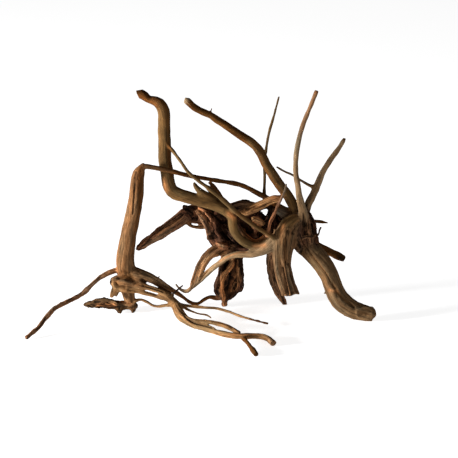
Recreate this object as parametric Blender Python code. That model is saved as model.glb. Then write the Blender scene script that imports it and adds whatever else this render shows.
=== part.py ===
"""Spiderwood root: one grown piece of azalea root, standing on its own toes.

The piece is a crown of dark, decayed wood from which smooth limbs, a thick leg and many
thin roots grow. A second knot on the left carries an upright stem and the low roots.
Every limb is a tapering tube along a smooth line, and a union fuses them all into one solid.

Limb points are sighted in a front view, in millimetres: how far right and how far down
from the view's corner they are seen, how far in front of its middle plane they lie (or
how high above the ground, for the roots that lie on it), and the limb's radius there.
"""

import math
from collections import namedtuple

import bmesh
import bpy
from mathutils import Vector, noise

NODE_NAME = "spiderwood_root"
MM = 0.001

# The front view: an eye that looks down a little on the root's middle.
LOOK_DOWN = math.radians(18)
EYE_DISTANCE = 1526.7
AIM_RIGHT = 229.0
AIM_DOWN = 229.0
AIM_HEIGHT = 88.85
# Where the middle of the standing piece lies in that view: to the right, and in front.
MIDDLE = (-26.15, 44.16)

# A tube keeps a ring where its line has turned this far, or run this many radii.
TURN_KEPT = math.radians(13)
RUN_KEPT = 3.4
SHORTEST_RUN = 2.2
SMOOTH_STEPS = 8
RELIEF_SIZE = 9.0
GROUND_SLAB = 30.0

WOOD_COLOUR = (0.26, 0.15, 0.07, 1.0)
WOOD_ROUGHNESS = 0.75

Limb = namedtuple("Limb", "sides relief path by_height", defaults=(False,))

# Each path point is (right, down, in front, radius) in millimetres, from tip to base.
LIMBS = {
    # Smooth limbs of the crown
    "tall_limb": Limb(12, 0.25, [
        (136.8, 94.6, 4, 3.0), (139.6, 93.6, 4, 4.4), (146.2, 97, 5, 5), (153.4, 100.4, 6, 5.2),
        (160.3, 104.6, 8, 5.8), (163.7, 112, 9, 6), (164.3, 126, 10, 6.2), (164.6, 142, 13, 6.3),
        (165, 160, 16, 6.4), (167, 172, 17, 6.4), (168.5, 183, 20, 6.5), (173, 191.5, 22, 6.7),
        (183, 196, 23, 6.3), (200, 200.5, 24, 6), (212, 204, 24, 5.8), (223, 208.6, 24, 5.6),
        (232.5, 214.5, 24, 5.4),
    ]),
    "loop": Limb(10, 0.4, [
        (226, 210.5, 25, 5.2), (232, 217, 25, 5), (232.5, 225, 24, 4.4), (235.5, 233, 22, 4.3),
        (242, 240.5, 20, 4.3), (250, 245, 18, 4.3), (258, 246, 17, 4.2), (266, 243, 15, 4.2),
        (275, 239, 14, 6),
    ]),
    "inner_loop": Limb(8, 0.6, [
        (235, 222, 14, 3), (240, 230, 12, 3.6), (246, 238, 11, 3.8), (255, 242.5, 10, 3.6),
        (264, 239, 10, 3.6), (272, 234, 10, 5),
    ]),
    "upper_limb": Limb(10, 0.25, [
        (184.5, 99.8, 16, 2.6), (187.3, 101, 16, 3.6), (193, 106.4, 16, 3.5),
        (200, 110.6, 16, 3.4), (210.3, 115, 16, 3.4), (217.5, 120, 16, 3.6),
        (228.5, 127, 16, 3.8), (240, 135, 15, 4), (251.5, 142.5, 15, 4.3), (258, 149, 14, 4.5),
        (262.5, 157, 13, 4.5), (267.2, 166, 12, 4.6), (273.5, 176, 11, 4.8), (280.5, 186, 9, 5),
        (287.8, 195.5, 7, 5.2), (292.8, 204.5, 5, 5.4), (297, 214, 3, 5.8), (299, 224, 0, 7),
    ]),
    "front_spire": Limb(8, 0.15, [
        (316.8, 90.5, 4, 2), (315, 95, 4.4, 2.2), (311.8, 103, 5, 2.2), (306, 117, 7, 2.3),
        (300.4, 133, 9, 2.4), (297, 149, 11, 2.6), (295.8, 160.5, 13, 2.6),
        (295.8, 172, 15, 2.7), (297.5, 183.5, 17, 2.8), (299.2, 195, 18, 3.2),
        (301.5, 206, 17, 3.9), (302.8, 213, 15, 4.6), (302.5, 220, 10, 5.4), (302, 227, 5, 6),
    ]),
    "back_spire": Limb(8, 0.15, [
        (344.6, 138, -16, 1.5), (342.5, 142, -16, 2.3), (338.2, 149, -15, 2.6),
        (329.6, 161.2, -13, 2.9), (322.8, 172, -11, 3), (318, 183.5, -9, 3.6),
        (313, 195, -7, 3.8), (308.4, 204, -5, 3.9), (305, 214, -3, 4.5), (302, 224, 0, 6),
    ]),
    "right_leg": Limb(14, 0.4, [
        (297, 236, 4, 11.5), (306, 246, 7, 10.8), (316, 256, 10, 10), (325, 267, 13, 9.5),
        (330, 277.5, 16, 9.4), (333.8, 288, 18, 9.8), (340, 299.8, 20, 10.2),
        (351.3, 308.6, 22, 9.7), (362.5, 312.3, 22.5, 8.4), (368.5, 314, 23, 7.8),
        (373.6, 315.2, 24, 6.6),
    ]),
    "back_stub": Limb(8, 0.25, [
        (300, 236, -2, 7), (309, 241.4, -8, 4.6), (320.6, 247.4, -13, 3.8), (331.4, 252.7, -18, 3.8),
        (344, 259, -22, 3.7),
    ]),
    "pale_root": Limb(10, 0.25, [
        (284, 232, 12, 7), (276, 240, 16, 6.6), (268, 247, 19, 5.8), (259, 252, 21, 4.6),
        (248, 254.3, 22, 3.7), (237.4, 254.5, 22, 3.3), (228, 257, 21, 3), (218.3, 263.8, 19, 2.9),
        (208.7, 271.6, 16, 3), (199.5, 280, 13, 3.1), (192, 287, 11, 2.6), (186.7, 291.3, 9, 1.9),
        (180.5, 289.5, 6, 1.5), (175.6, 284.2, 5, 1),
    ]),
    # Twigs that cross in front of the limbs, and the whips above them
    "cross_twig": Limb(8, 0.1, [
        (141.5, 167, 28, 2), (147, 166.5, 29, 2), (160, 168.8, 30, 2.1), (174.6, 172, 29, 2.2),
        (190.7, 176, 26, 2.2), (205, 178.5, 22, 2.2), (217.6, 180.5, 18, 2.2), (235, 183.3, 13, 2.3),
        (246.3, 187, 10, 2.4), (257.8, 193, 7, 2.6), (269, 199.5, 5, 2.9), (280.7, 207.4, 3, 3.3),
        (292, 214.5, 2, 4.5),
    ]),
    "front_twig": Limb(8, 0.1, [
        (164, 140.5, 17, 1.6), (171, 148.5, 20, 1.7), (180, 160.5, 27, 1.7), (188, 172, 32, 1.8),
        (198, 180.5, 33, 2), (208, 188, 33, 2.3), (220, 197.5, 32, 2.5), (229, 205.5, 31, 2.7),
        (236, 212, 30, 2.8), (246.3, 220, 30, 2.5), (257.8, 228, 29, 2.3), (269.2, 235, 26, 2.4),
        (278, 240, 20, 3),
    ]),
    "hair_twig": Limb(6, 0.0, [
        (279, 96.5, -6, 0.8), (275.2, 111, -6, 1.2), (272.1, 121.5, -6, 1.6), (269.1, 132, -6, 1.5),
        (266, 149, -6, 1.5), (264.7, 160, -6, 1.5), (264.6, 170, -5, 1.5), (264.6, 179, -3, 1.5),
        (264.2, 190, 1, 1.7), (264, 197, 5, 2.4),
    ]),
    "side_whip": Limb(6, 0.0, [
        (276.3, 166.7, -9, 0.8), (284.3, 171.3, -8, 1), (292.3, 174.8, -8, 1.1),
        (300.4, 180, -8, 1.2), (308.4, 184.8, -8, 1.4), (316, 188, -8, 2.4),
    ]),
    "front_splinter": Limb(6, 0.0, [
        (286.5, 183.3, 26, 0.9), (284, 192.5, 27, 1.3), (278.4, 204, 27, 1.5),
        (273.8, 214.3, 27, 1.6), (270.5, 222, 26, 1.7), (268, 231, 25, 2), (267, 237, 23, 2.2),
    ]),
    "pale_stub": Limb(8, 0.1, [
        (193.6, 182, 24, 1.3), (195.5, 185.5, 24, 2.2), (199, 189.5, 24, 2.6),
        (205, 194, 23, 3.2), (213, 199, 22, 4),
    ]),
    "dark_shard": Limb(6, 0.3, [
        (209.5, 182.5, 19, 1), (212, 186, 18, 2), (217, 194, 16, 3.2), (223, 204, 15, 4.2),
        (230, 212, 15, 4.5),
    ]),
    "orange_shard": Limb(8, 0.5, [
        (240, 215, 6, 3.5), (246, 212, 7, 4), (255, 208, 9, 4.2), (264, 203.5, 10, 3.8),
        (272.5, 200, 9, 3.2), (280, 197.8, 7.5, 2),
    ]),
    "crown_thorn": Limb(6, 0.0, [
        (306, 221, -3, 3.6), (314, 221, -6, 2), (320, 221.5, -8, 1.6), (328, 222.8, -10, 0.7),
    ]),
    "crown_spur": Limb(6, 0.0, [
        (311, 241, 4, 1.6), (317.6, 235, 2, 1.1), (319.3, 230.5, 2, 1), (321, 227, 2, 0.9),
    ]),
    "hair_spur": Limb(6, 0.0, [(210.6, 115, 16, 1.2), (211.6, 108, 16, 0.6)]),
    # Fluted front foot: a body and three cords of wood that stand out of its face
    "front_foot": Limb(12, 0.3, [
        (292, 221, 10, 8), (286.5, 229, 13, 8.4), (283.7, 240, 14, 8.6), (283, 252, 14, 8.4),
        (283, 264, 13, 8), (285.3, 276, 11, 7.6), (288.3, 286.5, 9, 7.4), (290.4, 293.6, 8, 7.2),
    ]),
    "foot_cord_left": Limb(8, 0.2, [
        (279.5, 230, 17, 5.6), (277.5, 240, 19.5, 5.2), (277, 252, 20, 4.8),
        (277.3, 264, 19, 4.4), (279.4, 276, 17, 4.2), (282.6, 287, 15, 4), (285.2, 293.4, 14, 3.8),
    ]),
    "foot_cord_middle": Limb(8, 0.2, [
        (286, 231, 21, 5), (284.5, 245, 22, 4.6), (284, 258, 21.5, 4.3),
        (285.2, 272, 19.5, 4), (288, 284, 17, 3.8), (290.8, 294, 15, 3.6),
    ]),
    "foot_cord_right": Limb(8, 0.2, [
        (291, 233, 17, 5), (289.2, 245, 18, 4.2), (287.8, 258, 17.5, 4),
        (289.6, 272, 15, 3.6), (292.8, 284, 13, 3.3), (296, 293.4, 11, 2.9),
    ]),
    "bark_foot": Limb(8, 0.4, [
        (280, 240, -6, 6.5), (272.5, 252, -10, 5.6), (271, 264, -14, 5.2), (273, 277, -17, 5),
        (277, 288, -19.5, 4.7), (281, 297, -21, 3.6), (283.8, 302.5, -21.9, 2.6),
        (284.8, 306, -21.9, 1.9),
    ]),
    # Dark, decayed wood between the limbs
    "crown": Limb(12, 0.8, [
        (301, 212, 0, 7.4), (302.6, 222, 0, 11.4), (302.6, 232, 2, 13.8), (304, 242, 5, 12.4),
    ]),
    "weathered_patch": Limb(8, 0.6, [(281, 213, 3, 4), (285, 217, 4, 5.4), (292, 223, 5, 7)]),
    "core": Limb(12, 1.4, [
        (210, 218, -8, 8.5), (216, 228, -7, 9.5), (223, 238, -7, 10.5), (232, 240, -8, 10),
        (243, 240, -9, 7.4), (256, 241, -8, 6.8), (268, 240, -5, 7.4), (280, 236, -2, 9),
        (292, 232, 0, 11.5),
    ]),
    "lower_core": Limb(10, 1.4, [
        (211, 233, -6, 6.5), (220, 241, -6, 9), (229, 248, -8, 10), (234, 256, -11, 9.6),
    ]),
    "top_hump": Limb(8, 1.0, [
        (217, 209, 8, 5), (225, 213, 0, 7.5), (234, 209, 2, 6.6), (243, 205.5, 4, 5.5),
        (253, 206.5, 4, 4.8), (260, 209, 5, 3.6),
    ]),
    "hollow_side": Limb(8, 0.4, [
        (272, 207, -4, 4), (273, 218, -4, 5), (276, 228, -3, 7), (281, 234, -2, 8),
    ]),
    "cut_knob": Limb(8, 0.4, [(254, 232, -9, 6), (256, 226, 1, 4.8), (258.5, 221.5, 10, 4.6)]),
    "hollow_back": Limb(8, 0.6, [
        (226, 226, -9, 9), (236, 220, -11, 8.5), (246, 219, -13, 7), (254, 226, -13, 7),
        (262, 231, -11, 7.5), (270, 234, -7, 7),
    ]),
    "rust_knob": Limb(8, 0.5, [(208, 219, -6, 6), (203, 216, -2, 7.4), (199, 214.5, 1, 6.4)]),
    "pink_knob": Limb(8, 0.4, [(221, 243, -2, 5), (221.5, 245, 7, 4.6)]),
    "dark_limb": Limb(10, 0.7, [
        (137, 250, 2, 1.8), (139.8, 247.4, 2, 3.2), (146.6, 242, 1, 4.6), (161.4, 232.2, -2, 6),
        (176.2, 222.4, -5, 7.2), (188, 214, -7, 7.6), (198, 212, -8, 8), (210, 218, -8, 8.5),
        (220, 228, -7, 9),
    ]),
    "under_strand": Limb(6, 0.0, [
        (187, 217, -3, 1.2), (190, 222, -3, 0.9), (194, 226, -3, 0.9), (200, 227, -3, 0.9),
        (207, 225, -3, 1.2),
    ]),
    "knee_root": Limb(10, 0.5, [
        (228, 246, -1, 7), (216, 250, 5, 5.8), (208, 255.5, 8, 5.2), (202, 264, 9.5, 4.8),
        (198.5, 272, 11, 4.4), (195.5, 279, 12, 3.7), (192, 286, 11.5, 2.4),
    ]),
    # Hanging root: rotten wood that has split into cords, one of them reaching the ground
    "hanging_back": Limb(8, 0.9, [
        (231, 250, -13, 9), (232, 264, -16, 9.4), (230.5, 278, -18, 9.6), (228, 289, -18, 8.4),
        (226.5, 296, -17, 5),
    ]),
    "hanging_left": Limb(8, 0.5, [
        (227, 250, -6, 6.4), (226, 262, -7, 5.8), (224, 273, -8, 5.6), (221.3, 283, -10, 5.2),
        (219.6, 290, -11, 4.6), (220.5, 296, -13, 3.4),
    ]),
    "hanging_middle": Limb(8, 0.5, [
        (231, 250, -4, 7), (231, 264, -5, 6.4), (229.5, 277, -7, 6), (227.5, 289, -11, 5.4),
        (225.8, 298, -15, 4), (224.6, 303, -17, 3.2), (224.2, 307, -17, 2.5),
    ]),
    "hanging_right": Limb(8, 0.5, [
        (237, 252, -8, 6.4), (237.5, 263, -8.5, 5.8), (238.5, 274, -9.5, 5.2),
        (237.8, 284, -11.5, 5), (234.5, 291, -13, 4.6), (228, 297, -15, 4),
    ]),
    # Left knot, its upright broken stem, and what it stands on
    "stem": Limb(12, 0.35, [
        (143.2, 163, 29, 1.2), (142.4, 165.3, 29, 2.6), (140.8, 169, 28, 4.4), (138.4, 176, 26, 6.2),
        (136.8, 192, 22, 7.1), (134.6, 207, 19, 7.4), (131.6, 221.5, 16, 7.6), (128.6, 236, 13, 7.9),
        (126, 251, 10, 8.6), (125.3, 262.5, 8, 9.2), (126.5, 272, 7, 9.3), (127.5, 281, 6, 8),
    ]),
    "knot": Limb(10, 0.8, [
        (110.8, 281.5, 10, 3.4), (114.6, 281.5, 10, 5.8), (122, 282, 9, 8.4), (129, 282.5, 8, 8),
        (135, 281, 8, 6),
    ]),
    "pillar": Limb(8, 0.3, [
        (127, 285, 6, 7), (128.3, 294.5, 3, 5.4), (129, 302, 1, 5), (129, 306, 0.3, 4.4),
    ]),
    "knot_nub": Limb(6, 0.2, [
        (115.6, 284, 12, 4.6), (114, 291, 13, 3.2), (112.4, 296.5, 13, 2.6), (111.8, 300.5, 13, 1.8),
    ]),
    "bark_base": Limb(8, 0.5, [
        (83.6, 306, 6.4, 1.2), (87.5, 304.8, 7.6, 2.6), (94.8, 303.6, 9.2, 3.9), (105, 303.8, 9, 4.5),
        (115, 304.5, 8, 4.5), (125, 305.5, 7, 4.4), (134, 305.5, 7, 4), (138, 305, 7.5, 2.4),
    ], by_height=True),
    "bark_toe_left": Limb(6, 0.0, [(119.5, 306, 5, 3.2), (119.5, 312.4, -1, 2.4)], by_height=True),
    "bark_toe_right": Limb(6, 0.0, [(133, 306, 5, 3.2), (133.3, 312, -1, 2.4)], by_height=True),
    # Low roots of the left knot
    "side_root": Limb(8, 0.15, [
        (121, 272, 46, 4), (115.5, 270.5, 47.3, 2.7), (104.5, 275, 44.3, 2.4), (95, 282, 39, 2.3),
        (83, 293, 30, 2.3), (68, 301.5, 25, 2.3), (56, 307.6, 21, 2.4), (46.4, 317, 14, 2.3),
        (40, 326, 8, 2.2), (32, 333, 4, 2.1), (26, 338.3, 1.4, 2.1),
    ], by_height=True),
    "link_root": Limb(8, 0.2, [
        (131, 273, 8, 8), (140, 274.5, 9, 5.8), (149.4, 277.6, 8, 5), (157.4, 282, 6, 4.4),
        (165, 286, 3, 3.4), (174, 291.3, -2, 2.5), (183, 297.3, -6, 2), (190, 302.3, -9, 1.8),
        (197.5, 303.7, -12, 1.8), (204, 299.5, -14, 1.8), (210, 297, -15, 2),
        (217, 298, -16, 2.6), (223, 297, -16, 3.4),
    ]),
    "link_thorn": Limb(6, 0.0, [(156, 281, 8, 2.2), (159.5, 276, 8, 0.7)]),
    "middle_root": Limb(6, 0.2, [
        (131, 283, 11, 5.4), (142, 286, 14, 3.3), (152, 288.5, 15, 2.8), (164.3, 293, 16, 2.8),
        (171, 298.5, 14, 3.3), (175, 303, 13, 3.6),
    ]),
    "lower_root": Limb(8, 0.2, [
        (119, 284.5, 13, 5), (127, 289.5, 15, 3), (137, 291, 15, 2.4), (146, 293.5, 15, 2.3),
        (157.4, 296.5, 14, 2.3), (169, 300, 13, 2.7), (175.5, 304, 13, 3.6),
    ]),
    "thin_link": Limb(6, 0.0, [
        (131, 303, 12, 3), (135, 301, 14, 2), (140.5, 299.7, 15, 1.6), (146.5, 302, 13, 1.5),
        (152, 305.3, 11, 1.5), (158, 306.5, 10, 1.5), (165, 305.5, 12, 1.6), (174, 304.7, 14, 2.4),
    ], by_height=True),
    "ground_root": Limb(10, 0.25, [
        (171, 298, 18, 3), (176, 305.5, 12.5, 5), (178.5, 311.5, 10, 5), (182.5, 317, 8, 4.8),
        (188, 321, 6.5, 4.4), (194.5, 324.5, 5, 3.9), (203.6, 328.3, 3.8, 2.8),
        (212.5, 331, 3.5, 2.7), (221.4, 333.7, 3.5, 2.6), (230.4, 335.6, 3.7, 2.7),
        (238, 336, 4.2, 3.1), (244.6, 336.3, 4.4, 3.3), (252.7, 336, 4.4, 3),
        (261.6, 336.5, 4, 2.9), (268, 338.8, 3.3, 3.1), (272.3, 342.5, 2.8, 3.3),
    ], by_height=True),
    "ground_root_strand": Limb(6, 0.15, [
        (190, 321, 6.5, 3.4), (199, 321.3, 8, 2.3), (208, 322, 9, 2.1), (217, 323, 9.5, 2),
        (226, 325.8, 9, 2), (233, 329.2, 7, 2), (240, 334, 5, 2.4),
    ], by_height=True),
    "ground_root_toe": Limb(6, 0.15, [
        (241, 336, 4, 2.6), (246.5, 341.5, 3, 2), (249.5, 345.8, 2.8, 2.2),
        (253, 350.3, 2.4, 2.4), (256, 354, 2, 2.4),
    ], by_height=True),
    "long_rootlet": Limb(6, 0.0, [
        (174, 303, 14, 2.6), (184, 305.3, 12, 1.7), (190.2, 306, 12.5, 1.6),
        (203.6, 307.3, 12.5, 1.5), (217, 308.3, 12, 1.5), (230.4, 312.3, 10.5, 1.5),
        (239.3, 315.8, 8.5, 1.4), (248.2, 318.5, 7, 1.3), (258.9, 321.5, 5, 1.4),
        (268.3, 323.6, 4, 1),
    ], by_height=True),
    "short_rootlet": Limb(6, 0.0, [
        (177, 304, 13, 2.2), (183, 307, 12, 1.4), (190.2, 310.5, 10.5, 1.2), (199, 313.5, 9, 1.1),
        (207, 315, 8.5, 1.1), (211.6, 318, 6.5, 0.8),
    ], by_height=True),
    "crossing_rootlet": Limb(6, 0.0, [
        (166, 300, 15, 1.8), (174, 293, 17, 1.1), (179.5, 288.2, 17, 1), (183, 285.4, 16, 0.9),
    ]),
}


def clear_scene():
    """Empties the scene of its startup objects."""
    for obj in list(bpy.data.objects):
        bpy.data.objects.remove(obj, do_unlink=True)


def sighted(right, down, depth, by_height):
    """Where a point seen in the front view stands, in metres."""
    rise, lean = math.cos(LOOK_DOWN), math.sin(LOOK_DOWN)
    up = AIM_DOWN - down
    eye = Vector((0, -EYE_DISTANCE * rise, AIM_HEIGHT + EYE_DISTANCE * lean))
    seen = Vector((right - AIM_RIGHT, up * lean, AIM_HEIGHT + up * rise))
    ray = seen - eye
    reach = (depth - eye.z) / ray.z if by_height else (-depth - eye.y) / ray.y
    place = eye + ray * reach
    middle = Vector((MIDDLE[0], -MIDDLE[1], 0))
    return (place - middle) * MM


def smooth_line(limb):
    """Catmull-Rom line through a limb's points: a fine list of (place, radius)."""
    knots = [(sighted(*point[:3], limb.by_height), point[3] * MM) for point in limb.path]
    knots = [knots[0]] + knots + [knots[-1]]
    line = []
    for (p0, r0), (p1, r1), (p2, r2), (p3, r3) in zip(knots, knots[1:], knots[2:], knots[3:]):
        for step in range(SMOOTH_STEPS):
            t = step / SMOOTH_STEPS
            weights = (
                (-t + 2 * t**2 - t**3) / 2,
                (2 - 5 * t**2 + 3 * t**3) / 2,
                (t + 4 * t**2 - 3 * t**3) / 2,
                (-(t**2) + t**3) / 2,
            )
            place = sum((w * p for w, p in zip(weights, (p0, p1, p2, p3))), Vector())
            line.append((place, r1 + (r2 - r1) * t))
    line.append(knots[-1])
    return line


def rings_of(line):
    """The points of a fine line where the tube needs a ring."""
    kept = [line[0]]
    heading = (line[1][0] - line[0][0]).normalized()
    for (place, radius), (ahead, _) in zip(line[1:], line[2:]):
        run = (place - kept[-1][0]).length
        now = (ahead - place).normalized()
        turned = heading.angle(now) > TURN_KEPT and run > SHORTEST_RUN * MM
        if turned or run > RUN_KEPT * radius + SHORTEST_RUN * MM:
            kept.append((place, radius))
            heading = now
    if (line[-1][0] - kept[-1][0]).length < SHORTEST_RUN * MM and len(kept) > 1:
        kept.pop()
    return kept + [line[-1]]


def make_tube(name, limb, collection):
    """A closed mesh tube along a limb's line, its surface raised and sunk by noise."""
    rings = rings_of(smooth_line(limb))
    curve = bpy.data.curves.new(name, "CURVE")
    curve.dimensions = "3D"
    curve.bevel_depth = 1.0
    curve.bevel_resolution = limb.sides // 2 - 2
    curve.use_fill_caps = True
    spline = curve.splines.new("POLY")
    spline.points.add(len(rings) - 1)
    # A ring of straight sides is drawn wider, so that it has its circle's area.
    turn = 2 * math.pi / limb.sides
    widening = math.sqrt(turn / math.sin(turn))
    for point, (place, radius) in zip(spline.points, rings):
        point.co = (*place, 1)
        point.radius = radius * widening
    guide = bpy.data.objects.new(name, curve)
    bpy.context.scene.collection.objects.link(guide)
    bpy.context.view_layer.update()
    graph = bpy.context.evaluated_depsgraph_get()
    mesh = bpy.data.meshes.new_from_object(guide.evaluated_get(graph))
    bpy.data.objects.remove(guide)

    shape = bmesh.new()
    shape.from_mesh(mesh)
    bmesh.ops.remove_doubles(shape, verts=shape.verts, dist=1e-6)
    bmesh.ops.recalc_face_normals(shape, faces=shape.faces)
    shape.normal_update()
    for vert in shape.verts:
        height = noise.fractal(vert.co / (RELIEF_SIZE * MM), 1.0, 2.0, 2)
        vert.co += vert.normal * height * limb.relief * MM
    shape.to_mesh(mesh)
    shape.free()
    tube = bpy.data.objects.new(name, mesh)
    collection.objects.link(tube)
    return tube


def apply_modifiers(obj):
    """Replaces an object's mesh with what its modifiers make of it."""
    bpy.context.view_layer.update()
    graph = bpy.context.evaluated_depsgraph_get()
    mesh = bpy.data.meshes.new_from_object(obj.evaluated_get(graph))
    obj.modifiers.clear()
    obj.data = mesh


def fuse_limbs(collection):
    """One solid made of every limb: the first takes in the rest."""
    fused, *rest = list(collection.objects)
    collection.objects.unlink(fused)
    bpy.context.scene.collection.objects.link(fused)
    union = fused.modifiers.new("grown together", "BOOLEAN")
    union.operation = "UNION"
    union.operand_type = "COLLECTION"
    union.collection = collection
    union.solver = "MANIFOLD"
    apply_modifiers(fused)
    for limb in rest:
        bpy.data.objects.remove(limb)
    return fused


def keep_largest_shell(root):
    """Drops the crumbs and fills the sealed pockets that a union leaves."""
    shape = bmesh.new()
    shape.from_mesh(root.data)
    shells = []
    for vert in shape.verts:
        if vert.tag:
            continue
        vert.tag = True
        shell = [vert]
        for reached in shell:
            for edge in reached.link_edges:
                other = edge.other_vert(reached)
                if not other.tag:
                    other.tag = True
                    shell.append(other)
        shells.append(shell)
    shells.sort(key=len)
    for shell in shells[:-1]:
        bmesh.ops.delete(shape, geom=shell, context="VERTS")
    shape.to_mesh(root.data)
    shape.free()


def stand_on_ground(root):
    """Wears flat spots on the toes, where they reach below the ground."""
    bpy.ops.mesh.primitive_cube_add(size=1, location=(0, 0, -GROUND_SLAB / 2 * MM))
    ground = bpy.context.object
    ground.name = "ground"
    ground.scale = (1, 1, GROUND_SLAB * MM)
    ground.display_type = "WIRE"
    ground.hide_render = True
    wear = root.modifiers.new("worn toes", "BOOLEAN")
    wear.operation = "DIFFERENCE"
    wear.object = ground
    wear.solver = "MANIFOLD"
    apply_modifiers(root)
    bpy.data.objects.remove(ground)


def wood_material():
    """Plain peeled wood."""
    material = bpy.data.materials.new("peeled wood")
    material.use_nodes = True
    shader = material.node_tree.nodes["Principled BSDF"]
    shader.inputs["Base Color"].default_value = WOOD_COLOUR
    shader.inputs["Roughness"].default_value = WOOD_ROUGHNESS
    shader.inputs["Metallic"].default_value = 0.0
    return material


def main():
    """Grows the limbs, fuses them and stands the root on the ground."""
    clear_scene()
    limbs = bpy.data.collections.new("limbs")
    bpy.context.scene.collection.children.link(limbs)
    for name, limb in LIMBS.items():
        make_tube(name, limb, limbs)
    root = fuse_limbs(limbs)
    bpy.data.collections.remove(limbs)
    stand_on_ground(root)
    keep_largest_shell(root)

    shown = bpy.data.collections.new("spiderwood")
    bpy.context.scene.collection.children.link(shown)
    bpy.context.scene.collection.objects.unlink(root)
    shown.objects.link(root)
    root.name = root.data.name = NODE_NAME
    root.data.materials.clear()
    root.data.materials.append(wood_material())
    root.data.shade_smooth()
    root.data.set_sharp_from_angle(angle=math.radians(50))


main()
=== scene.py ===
"""Spiderwood root, dressed: peeled, furrowed and partly decayed root wood.

The root grew as one piece, so it is modelled as one. Each sub-assembly lists its limbs and
the marks on them. The limbs are swept as tubes, the tubes are fused into one skin, and the
skin is carved and painted with the grain of each limb's own wood. Some marks paint shade
and highlights onto it, and its splits and hollows are darkened as painted shade.
"""

import itertools
import logging
import math
from dataclasses import dataclass, fields
from enum import Enum, IntEnum
from functools import cached_property

import bmesh
import bpy
import numpy as np
from mathutils import Matrix, Vector


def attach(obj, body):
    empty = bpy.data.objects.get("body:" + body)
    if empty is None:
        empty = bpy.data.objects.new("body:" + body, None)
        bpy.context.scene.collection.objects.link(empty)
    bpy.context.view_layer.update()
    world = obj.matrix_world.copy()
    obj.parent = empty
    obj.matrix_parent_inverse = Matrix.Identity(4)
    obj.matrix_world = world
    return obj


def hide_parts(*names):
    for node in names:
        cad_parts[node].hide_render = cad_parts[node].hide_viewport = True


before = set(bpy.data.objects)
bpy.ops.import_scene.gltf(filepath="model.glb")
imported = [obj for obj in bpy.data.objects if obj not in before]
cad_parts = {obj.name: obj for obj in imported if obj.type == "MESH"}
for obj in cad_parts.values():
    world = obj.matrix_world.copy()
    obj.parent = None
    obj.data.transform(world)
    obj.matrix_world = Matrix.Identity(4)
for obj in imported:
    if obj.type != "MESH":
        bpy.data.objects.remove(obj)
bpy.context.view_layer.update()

log = logging.getLogger("spiderwood")

Colour = tuple[float, float, float]
Place = tuple[float, float, float]
Path = list[tuple[float, float, float, float]]
Socket = bpy.types.NodeSocket

MM = 0.001

# The skin's first grid, in metres, and how many faces it keeps in the end.
SKIN_GRID = 0.7 * MM
SKIN_FACES = 194_000

# A limb's line has a point at each step, in millimetres. Its tube has rings of so many
# sides, so many mean radii apart.
LINE_STEP = 1.0
RING_SIDES = 24
RING_SPACING = 0.6

# Where a limb has a tip of other wood, how steeply that wood fades.
TIP_FADE = 1.5

# A mark's line has a point at each step, in millimetres. It acts as far as so many widths
# to its sides, and fades where the skin turns away from the eye.
MARK_STEP = 0.6
MARK_SPREAD = 2.2
MARK_TURN = 8.0

# How far round a limb points belong to it, and a gap wider than that, in millimetres.
NEAR_MARGIN = 6.0
FAR = 99.0

# How many points are matched with a limb's line at once.
CHUNK = 4000


@dataclass(frozen=True)
class FrontView:
    """The view that the limbs are sighted in, in millimetres: it looks down a little."""

    look_down: float = math.radians(18)
    eye_distance: float = 1526.7
    aim_right: float = 229.0
    aim_down: float = 229.0
    aim_height: float = 88.85
    middle: tuple[float, float] = (-26.15, 44.16)

    @cached_property
    def shift(self) -> np.ndarray:
        """From the root's middle to the view's."""
        return np.array([self.middle[0], -self.middle[1], 0])

    @cached_property
    def forward(self) -> np.ndarray:
        """The way that the eye looks."""
        return np.array([0, math.cos(self.look_down), -math.sin(self.look_down)])

    @cached_property
    def up(self) -> np.ndarray:
        """The way that is up in the view."""
        return np.array([0, math.sin(self.look_down), math.cos(self.look_down)])

    @cached_property
    def eye(self) -> np.ndarray:
        """Where the eye is, in the root's frame."""
        return np.array([0, 0, self.aim_height]) - self.forward * self.eye_distance - self.shift

    def place(self, right: float, down: float, depth: float, by_height: bool) -> np.ndarray:
        """Where a point seen in the view stands.

        Args:
            right: How far right it is seen.
            down: How far down it is seen.
            depth: How far in front of the view's middle it lies, or how high.
            by_height: Whether the depth is a height above the ground.

        Returns:
            Its place in the root's frame.
        """
        ray = self.forward * self.eye_distance + self.up * (self.aim_down - down)
        ray = ray + np.array([right - self.aim_right, 0, 0])
        if by_height:
            return self.eye + ray * (depth - self.eye[2]) / ray[2]
        return self.eye + ray * (-depth - self.eye[1] - self.shift[1]) / ray[1]

    def seen(self, points: np.ndarray) -> np.ndarray:
        """How far right, down and in front points are seen."""
        away = points - self.eye
        scale = self.eye_distance / (away @ self.forward)
        right = self.aim_right + away[:, 0] * scale
        down = self.aim_down - (away @ self.up) * scale
        return np.stack([right, down, -points[:, 1] - self.shift[1]], axis=1)


VIEW = FrontView()


def smooth_line(path: list[tuple[float, ...]], step: float) -> np.ndarray:
    """A Catmull-Rom line through points.

    Args:
        path: The points that it goes through, each with its width last.
        step: How far apart the line's own points are.

    Returns:
        One row for each point of the line.
    """
    knots = np.array([path[0], *path, path[-1]], dtype=float)
    line = []
    for before, start, end, after in zip(knots, knots[1:], knots[2:], knots[3:]):
        count = max(2, round(np.linalg.norm((end - start)[:3]) / step))
        for t in np.arange(count) / count:
            point = 0.5 * (2 * start + (end - before) * t
                           + (2 * before - 5 * start + 4 * end - after) * t**2
                           + (3 * start - before - 3 * end + after) * t**3)
            point[-1] = start[-1] + (end[-1] - start[-1]) * t
            line.append(point)
    return np.array([*line, knots[-1]])


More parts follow.
